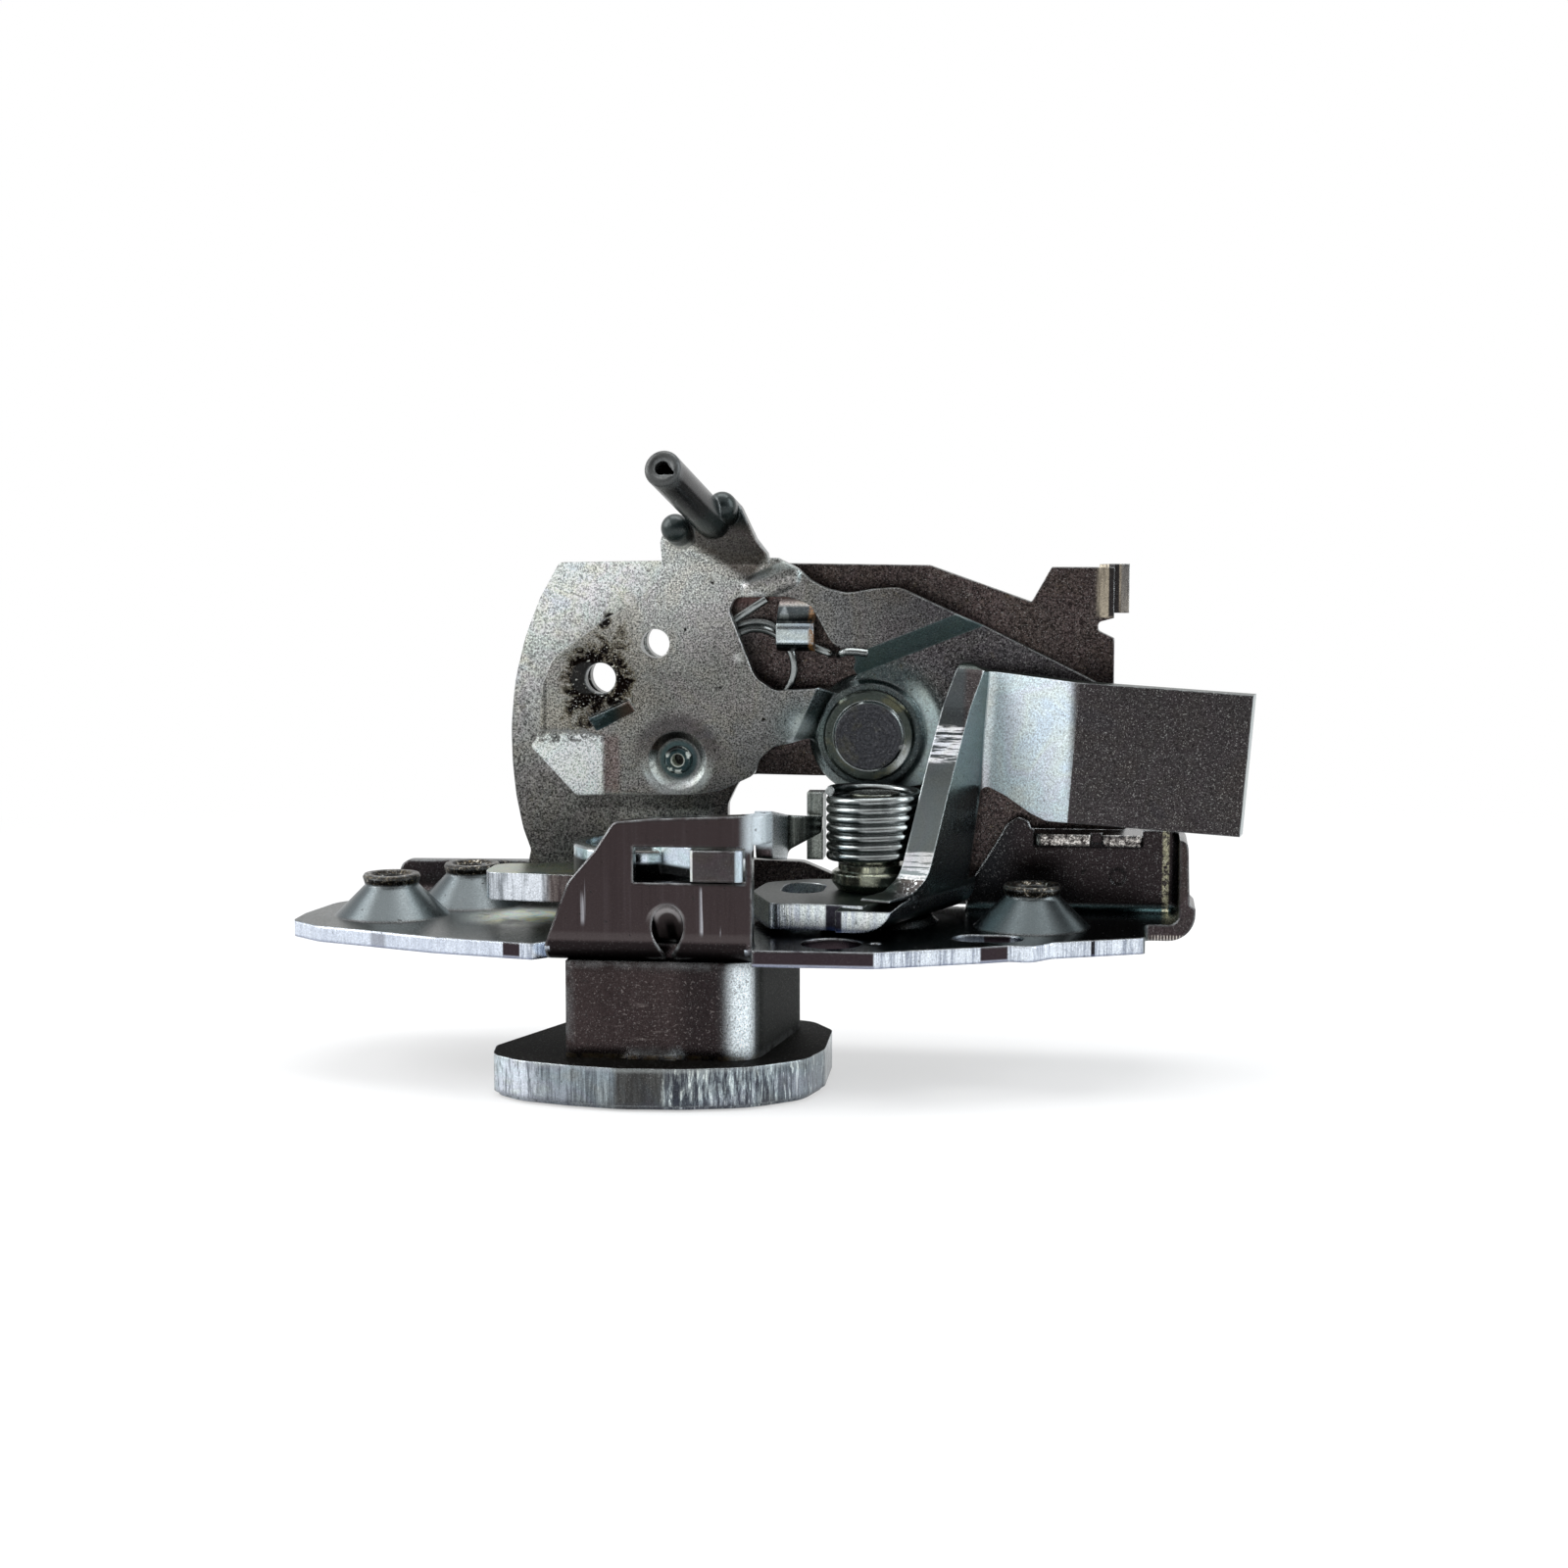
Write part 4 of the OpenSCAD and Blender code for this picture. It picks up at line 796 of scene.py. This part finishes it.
# painted light on the angled part, palest towards its left
pull.bright(angled, 212, 222, 230, 0.3)
pull.bright(angled * pull.x.ramp(20, 16) * 0.7, 244, 252, 254, 0.2)
pull.passivate(0.15, angled)
pull.tell("web and angled part")

# %% [markdown]
# The pad at the end is dark, with one more layer of painted glints. The foot has a bright
# sheared edge, blue at its lower side, and the bend above it is scratched.

# %% pull lever: pad, foot and bend
pad = pull.x.ramp(28.6, 30.2) * pull.ny.ramp(-0.6, -0.8)
pull.wash(pad, seen(47, 44, 45), 0.34, None, 0.42)
# painted glints on the pad
painted_glint = pull.noise(5.4, 0, 0.5, shift=(2, 2, 2)).ramp(0.7, 0.75)
pull.wash(pad * painted_glint * 0.45, shade(190, 190, 188), 0.3)
foot = pull.z.ramp(6.8, 6.2)
pull.sheared(foot * pull.upright, "z", shade(240, 246, 255), shade(204, 211, 224), 3.4)
pull.wash(foot * pull.upright * pull.x.band(-2.6, -0.6, 0.3), shade(44, 42, 50), 0.2)
pull.wash(foot * pull.upright * pull.z.ramp(3.7, 3.2) * 0.6, shade(50, 70, 120))
pull.wash(foot * pull.nz.ramp(0.7, 0.9), shade(24, 31, 29), 0.5, None, 0.2)
bend = pull.z.band(5.2, 9, 0.8) * pull.x.ramp(5.5, 7.5) * pull.y.ramp(3, -1)
pull.wash(bend * 0.6, seen(58, 48, 48), 0.26)
scratched = pull.noise(2.0, 3, 0.7, stretch=(1, 0.15, 1)).ramp(0.54, 0.62)
pull.wash(bend * scratched * 0.8, seen(190, 186, 186), 0.24)
pull.passivate(0.15)
pull.soiled(0.4, 5)
wear("pull_lever", pull.finish(0.5, 0.5))

# %% [markdown]
# The box under the plate is bent from dark sheet. Its rounded corner mirrors the light as
# one bright upright band, which follows the rounded normal, and its face is scuffed.

# %% box
box = Finish("zinc_box", shade(56, 48, 48), shade(28, 30, 29), shade(50, 47, 43), 0.26, 0.2, 2.2)
box.wash(box.x.ramp(-22.5, -19) * box.ny.ramp(-0.8, -0.95) * 0.8, shade(40, 35, 36))
corner = box.rounded_part("x").band(0.28, 0.62, 0.26) * box.rounded_part("y").ramp(-0.1, -0.5)
box.bright(corner, 222, 232, 242, 0.4)
specks = box.noise(3.4, 0, 0.5, shift=(3, 1, 2)).ramp(0.73, 0.78)
box.wash(specks * box.ny.ramp(-0.8, -0.95) * 0.28, shade(150, 142, 140))
scuff = box.noise(1.1, 3, 0.65, stretch=(0.3, 1, 2.4)).ramp(0.56, 0.66) * box.near(-26, -8).ramp(5.5, 1)
box.wash(scuff * 0.5, shade(112, 104, 102))
box.wash(box.z.ramp(-12.0, -12.5) * box.noise(0.4, 3).ramp(0.4, 0.6) * 0.8, shade(120, 104, 74), 0.4)
box.wash(box.nx.ramp(0.8, 0.95), box.mix(box.y.ramp(-4, 12), shade(36, 38, 37), shade(24, 27, 26)), 0.7)
box.soiled(0.5, 13)
wear("bolt_box", box.finish(0.4))

# %% [markdown]
# The thick cover plate is blanked in one stroke, and the torn lines of the cut run down its
# whole edge. The edge carries painted light at its left and along its top rim, and painted shade on one
# facet.

# %% cover plate
cover = Finish("cut_cover", seen(60, 59, 58), seen(90, 92, 94), shade(20, 20, 19), 0.45, 0.25)
around = cover.upright
cover.sheared(around, "z", shade(150, 158, 166), shade(92, 97, 104), 2.8)
# painted shade on a facet turned from the light
cover.wash(around * cover.x.band(-28.0, -22.4, 0.8) * 0.85, shade(56, 54, 54), 0.24)
deep = cover.noise(1.8, 3, 0.7, stretch=(1, 1, 0.14), twist=0.3, shift=(0, 3, 0))
right_half = around * cover.x.ramp(-23, -21)
cover.wash(right_half * cover.x.ramp(-6, -9) * deep.ramp(0.52, 0.44) * 0.8, shade(46, 48, 60))
cover.wash(right_half * deep.ramp(0.56, 0.62) * 0.8, shade(220, 228, 232), 0.22)
# painted light on the left part of the edge
cover.wash(around * cover.x.ramp(-37, -42) * deep.ramp(0.36, 0.56) * 0.9, shade(226, 234, 244), 0.24)
# painted highlight along the top rim
cover.wash(around * cover.z.ramp(-13.6, -13.0) * 0.4, shade(170, 176, 182), 0.22)
cover.wash(around * cover.z.ramp(-17.0, -17.9) * 0.6, shade(70, 72, 80))
cover.wash(cover.nz.ramp(0.7, 0.9), shade(14, 13, 12), 0.75)
cover.passivate(0.25)
cover.soiled(0.5, 6)
wear("cover_plate", cover.finish(0.7, 0.6))

# %% [markdown]
# The hub is a cup that lies on the plate. Its arm reaches forward through the window of the
# front flange, and only the arm's end is seen from the front, in teal bands and a pale band of
# painted highlight, with painted shade in the lower part of the window. Its other faces carry painted
# highlights.

# %% hub
hub = Finish("zinc_hub", shade(76, 70, 72), seen(128, 134, 142), shade(110, 116, 112), 0.2, 0.12, 0.6)
arm_end = hub.y.ramp(-18.0, -17.4)
arm_face = arm_end * hub.upright
hub.wash(arm_face, seen(150, 160, 168), 0.16)
# painted highlight: a pale band on the faces turned left
hub.bright(arm_face * hub.nx.band(-0.55, -0.3, 0.15) * 0.9, 214, 220, 232, 0.1)
teal = hub.noise(0.25, 2, 0.5, stretch=(1, 1, 0.2)).ramp(0.5, 0.6)
hub.wash(arm_face * teal * 0.5, seen(50, 84, 88))
# painted shade: black in the lower part of the window
hub.wash(arm_end * hub.z.ramp(12.7, 12.1), shade(10, 12, 13), 0.4)
# painted highlights on the hub's left-facing faces and its right end
hub.bright((1 - arm_end) * hub.nx.ramp(-0.4, -0.7), 240, 246, 255, 0.1)
hub.bright((1 - arm_end) * hub.x.ramp(-13.4, -13.0) * 0.9, 200, 212, 224, 0.1)
hub.passivate(0.3)
hub.soiled(0.3, 2)
wear("lock_hub", hub.finish(0.4, 0.3))

# %% [markdown]
# The cam lies under the hub. Its top is pale, with the strongest colours of the passivation,
# and its edge is cut like the others, with painted light at its left end. The rotor turns inside the box
# and is bare steel.

# %% cam and rotor
cam = Finish("cut_cam", seen(72, 66, 65), seen(130, 132, 130), shade(158, 162, 148), 0.28, 0.3)
cam.sheared(cam.upright, "z", seen(86, 80, 78), seen(48, 42, 42), 1.8)
# painted light on the left end of the cut edge
cam.sheared(cam.upright * cam.x.ramp(-40.2, -42), "z", shade(222, 228, 236), shade(140, 146, 152), 1.8)
cam.passivate(0.8, 1 - cam.upright, 0.2)
cam.soiled(0.4, 4)
wear("cam_lever", cam.finish(0.5, 0.5))

rotor = Finish("cut_rotor", seen(90, 88, 86), seen(120, 118, 116), seen(110, 108, 104), 0.3, 0.3)
rotor.sheared(rotor.upright, "z", seen(150, 150, 152), seen(80, 80, 84))
rotor.soiled(0.6, 9)
wear("rotor", rotor.finish(0.5))

# %% [markdown]
# Turned pieces. Turning leaves rings round the axis, so the pattern follows the distance
# from it.


# %% turned steel
def turned(name, axis, centre, dark, pale, stain):
    """Steel turned on a lathe: faint rings round the axis, and some stain."""
    made = Finish(name, dark, pale, dark, 0.24, 0.2)
    made.from_axis = made.near(*centre, {"y": "xz", "z": "xy"}[axis])
    face = abs(made.ny if axis == "y" else made.nz).ramp(0.85, 0.97)
    rings = (made.from_axis * 9 + made.noise(0.5, 2) * 14).math("SINE") * 0.5 + 0.5
    made.tone((rings - 0.5) * face * 0.35 + 1)
    made.height = made.height + rings * face * 0.006
    made.wash(made.noise(0.3, 4, 0.7, shift=(3, 3, 3)).ramp(0.52, 0.68) * stain, seen(96, 94, 66), 0.4)
    return made


print("turned steel is ready")

# %% [markdown]
# The rivets. The big rivet's head is dark and dull in the middle, and its bevel carries a
# stain, a painted highlight at its lower right and one painted bright spot. The eyelet has a
# bright bore inside a ring of painted highlight patches, with painted shade at its upper left.

# %% rivets and eyelet
rivet = turned("turned_rivet", "y", MAIN_RIVET, seen(42, 43, 46), seen(70, 76, 78), 0.1)
bevel = rivet.from_axis.ramp(4.7, 5.1)
rivet.wash(bevel, seen(44, 49, 46), 0.22, None, 0.1)
# painted highlight on the lower right of the bevel
rivet.wash(bevel * rivet.x.ramp(3, 6.5) * rivet.z.ramp(27, 22) * 0.8, seen(176, 188, 186), 0.2)
rivet.wash(bevel * rivet.noise(0.4, 3).ramp(0.5, 0.66) * 0.4, seen(84, 82, 60), 0.3)
rivet.wash(rivet.from_axis.band(4.8, 5.05, 0.12) * 0.6, seen(120, 126, 126), 0.2)
# painted highlight: one bright spot
rivet.bright(rivet.near(5.6, 25.4).ramp(0.55, 0.15), 236, 240, 240, 0.1)
rivet.soiled(0.4, 11)
wear("main_rivet", rivet.finish(0.5, 0.35))

eyelet = turned("turned_eyelet", "y", EYELET, seen(32, 46, 48), seen(50, 70, 72), 0.2)
rim_out = eyelet.from_axis
eyelet.bright(rim_out.ramp(1.05, 0.9), 220, 226, 216, 0.4)
patch = eyelet.noise(0.8, 2, 0.5, shift=(4, 1, 7)).ramp(0.5, 0.56)
# painted highlights in patches round the eyelet
eyelet.bright(rim_out.band(1.5, 2.3, 0.2) * patch, 206, 214, 208, 0.2)
shade_side = rim_out.band(1.5, 2.6, 0.3) * eyelet.z.ramp(23.6, 24.6) * eyelet.x.ramp(-25.6, -26.6)
eyelet.wash(shade_side, shade(14, 18, 18), 0.2)
wear("eyelet_rivet", eyelet.finish(0.4, 0.35))

pin = turned("turned_pin", "y", LOCK_RIVET, seen(90, 88, 86), seen(120, 118, 116), 0.2)
wear("lock_rivet", pin.finish(0.4, 0.35))

# %% [markdown]
# Stud and shaft stand upright, so their rings lie the other way. The stud is stained yellow,
# with pale upright lines.

# %% stud and shaft
stud = turned("turned_stud", "z", STUD, seen(100, 103, 92), seen(84, 88, 80), 0.5)
lines = stud.noise(1.0, 2, 0.6, stretch=(1, 1, 0.05)).ramp(0.54, 0.64)
stud.wash(stud.upright * lines * 0.6, seen(150, 152, 132), 0.22)
stud.wash(stud.z.ramp(11.0, 11.6) * 0.5, seen(40, 40, 34))
stud_steel = stud.finish(0.4, 0.35)
for name in ("pull_stud", "pull_collar"):
    wear(name, stud_steel)

shaft = turned("turned_shaft", "z", SHAFT, seen(96, 98, 100), seen(120, 124, 126), 0.3)
shaft_steel = shaft.finish(0.4, 0.35)
for name in ("rotor_shaft", "shaft_collar", "box_posts"):
    wear(name, shaft_steel)

# %% [markdown]
# The lock lever lies between the two plates. Only its lug comes forward through the window:
# painted dark on top with painted glints, painted pale where its tip turns down to face us, with
# painted shade beneath and a rusty right edge. Above the lug the sheet is painted in reddish shade.

# %% lock lever
lock = Finish("zinc_lock", seen(70, 64, 62), seen(96, 100, 98), seen(90, 96, 94), 0.26, 0.3)
lug = lock.y.ramp(19.2, 18.4)
lug_top = lug * lock.nz.ramp(0.3, 0.6)
# painted reflection: the top of the lug dark
lock.wash(lug_top, shade(34, 39, 41), 0.34, None, 0.15)
# painted glints on the lug's top
lug_glints = lock.noise(0.5, 2, 0.5, stretch=(1, 0.3, 0.3)).ramp(0.56, 0.62)
lock.wash(lug_top * lug_glints * 0.2, shade(150, 158, 160), 0.2)
lug_tip = lug * lock.ny.ramp(-0.85, -0.97) * lock.y.ramp(17, 16.4)
# painted light on the lug's tip
lock.wash(lug_tip, seen(158, 166, 172), 0.24, None, 0.15)
# painted shade under the lug
lock.wash(lug * lock.nz.ramp(-0.3, -0.6), shade(40, 46, 47), 0.3)
rust = lock.noise(0.9, 4, 0.7).ramp(0.36, 0.55)
lock.wash(lug * lock.x.ramp(-7.9, -7.3) * rust, shade(150, 104, 54), 0.5, 0.3)
# painted shade on the sheet above the lug
lock.wash((1 - lug) * lock.z.ramp(44, 46) * 0.6, seen(64, 44, 42), 0.22)
lock.passivate(0.3)
lock.soiled(0.4, 15)
wear("lock_lever", lock.finish(0.5, 0.4))

# %% [markdown]
# The springs. In the solids they are faceted wire; here each is drawn again as round wire.
# These helpers select one object, pick vertices by their number, and settle a finished
# piece: its place goes into the mesh, and it takes the place of a solid.


# %% helpers for new pieces
def only(obj):
    """Selects one object and nothing else."""
    bpy.ops.object.select_all(action="DESELECT")
    obj.select_set(True)
    bpy.context.view_layer.objects.active = obj


def pick(obj, test):
    """In edit mode: selects the vertices whose number passes the test."""
    bpy.ops.mesh.select_all(action="DESELECT")
    bpy.ops.object.mode_set(mode="OBJECT")
    for vertex in obj.data.vertices:
        vertex.select = test(vertex.index)
    bpy.ops.object.mode_set(mode="EDIT")


def settle(obj, material, node):
    """Puts the place into the mesh, gives the piece its finish, and hides the solid that it stands for."""
    only(obj)
    bpy.ops.object.transform_apply(location=True, rotation=True, scale=True)
    obj.data.materials.clear()
    obj.data.materials.append(material)
    bpy.ops.object.shade_smooth_by_angle(angle=math.radians(35))
    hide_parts(node)
    print("made", obj.name, "with", len(obj.data.polygons), "faces")


print("helpers are ready")

# %% [markdown]
# The wire is drawn steel, smoother than the plated sheet, with a few dull stains.

# %% wire finish
wire = Finish("bright_wire", shade(150, 155, 155), shade(128, 134, 134), shade(118, 124, 124), 0.18, 0.1)
wire.wash(wire.noise(0.3, 4, 0.7).ramp(0.56, 0.72) * 0.5, shade(60, 60, 48), 0.3)
wire.wash(wire.noise(0.25, 2, 0.5, shift=(9, 9, 9)).ramp(0.5, 0.62) * 0.4, shade(52, 60, 60))
wire_steel = wire.finish(0.2, 0.2)

# %% [markdown]
# The torsion spring starts as a ring of the wire's section, and a Screw modifier winds it.

# %% torsion spring: winding
WIRE_R = 0.64
COIL_R = 6.06
COIL_LOW = 10.99
TURNS = 7.25
PITCH = 1.2814
RING = 14
STEPS_A_TURN = 44
bpy.ops.object.select_all(action="DESELECT")
bpy.ops.mesh.primitive_circle_add(vertices=RING, radius=WIRE_R * MM, rotation=(0, math.pi / 2, 0))
coil = bpy.context.object
coil.name = "pull_spring_wire"
bpy.ops.object.transform_apply(location=False, rotation=True, scale=False)
bpy.ops.object.mode_set(mode="EDIT")
bpy.ops.mesh.select_all(action="SELECT")
bpy.ops.transform.translate(value=(0, COIL_R * MM, 0))
bpy.ops.object.mode_set(mode="OBJECT")
wind = coil.modifiers.new("wind", "SCREW")
wind.angle = math.radians(360 * TURNS)
wind.screw_offset = PITCH * TURNS * MM
wind.iterations = 1
wind.steps = wind.render_steps = int(STEPS_A_TURN * TURNS)
bpy.ops.object.modifier_apply(modifier="wind")
last = len(coil.data.vertices) - RING
print("wound", TURNS, "turns with", len(coil.data.vertices), "vertices")

# %% [markdown]
# Its two tails are pulled out from the end rings, which the screw has put first and last in
# the mesh. The second pull takes the end of the first tail along, because its new vertices
# come after all others, and so that tail gets a bend.


# %% torsion spring: tails
def in_first_ring(number):
    return number < RING


def from_last_ring_on(number):
    return number >= last


TAILS = ((in_first_ring, (0.002, 0, 0)), (from_last_ring_on, (0, -0.0015, 0)))
bpy.ops.object.mode_set(mode="EDIT")
for test, move in TAILS:
    pick(coil, test)
    bpy.ops.mesh.extrude_region_move(TRANSFORM_OT_translate={"value": move})
    bpy.ops.mesh.edge_face_add()
bpy.ops.mesh.select_all(action="SELECT")
bpy.ops.mesh.normals_make_consistent(inside=False)
bpy.ops.object.mode_set(mode="OBJECT")
coil.location = (STUD[0] * MM, STUD[1] * MM, COIL_LOW * MM)
settle(coil, wire_steel, "pull_spring")
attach(coil, "pull")

# %% [markdown]
# The toggle spring behind the window is one bent wire: a leg, a little over one turn that
# opens as it rises, and a leg that dives through the window and hooks over its edge. First
# come the points that it passes through.

# %% toggle spring: path
LEG_IN = [
    (-13.9, 18.55, 46.1), (-16.4, 18.55, 44.5), (-19, 18.55, 42.8),
    (-20.2, 18.55, 41.3), (-20.7, 18.55, 39.5),
]
LEG_OUT = [
    (-8, 19.25, 39.6), (-5.2, 18.9, 38.6), (-4.2, 18.3, 38.3), (-3.6, 17.1, 38.3),
    (-3.2, 15.65, 38.6), (-2.6, 14.7, 38.9), (-1.2, 14.65, 39.1), (0.9, 14.65, 38.8),
]
LOOP_X = -15.5
LOOP_Y = 18.55
LOOP_Z = 36.6
LOOP_R = 5.1
OPENS = 1.15
FIRST_ANGLE = 170
SWEEP = 460
STEPS = 60
loop = []
for i in range(STEPS + 1):
    share = i / STEPS
    angle = math.radians(FIRST_ANGLE - SWEEP * share)
    reach = LOOP_R + OPENS * share
    loop.append((LOOP_X + reach * math.cos(angle), LOOP_Y + share, LOOP_Z + reach * math.sin(angle)))
path = LEG_IN + loop + LEG_OUT
print("the toggle spring's path has", len(path), "points")

# %% [markdown]
# A curve with a round section follows the points and becomes a mesh.

# %% toggle spring: wire
TOGGLE_R = 0.55
bpy.ops.object.select_all(action="DESELECT")
bpy.ops.curve.primitive_nurbs_path_add()
toggle = bpy.context.object
toggle.name = "toggle_spring_wire"
toggle.data.splines.clear()
spline = toggle.data.splines.new("NURBS")
spline.points.add(len(path) - 1)
for point, (x, y, z) in zip(spline.points, path):
    point.co = (x * MM, y * MM, z * MM, 1)
spline.order_u = 3
spline.use_endpoint_u = True
spline.resolution_u = 4
toggle.data.bevel_depth = TOGGLE_R * MM
toggle.data.bevel_resolution = 3
toggle.data.use_fill_caps = True
only(toggle)
bpy.ops.object.convert(target="MESH")
toggle = bpy.context.object
settle(toggle, wire_steel, "toggle_spring")
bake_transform(toggle)

# %% sizes and finish
low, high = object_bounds()
print("dressed size in mm:", [round(v / MM, 1) for v in high - low])
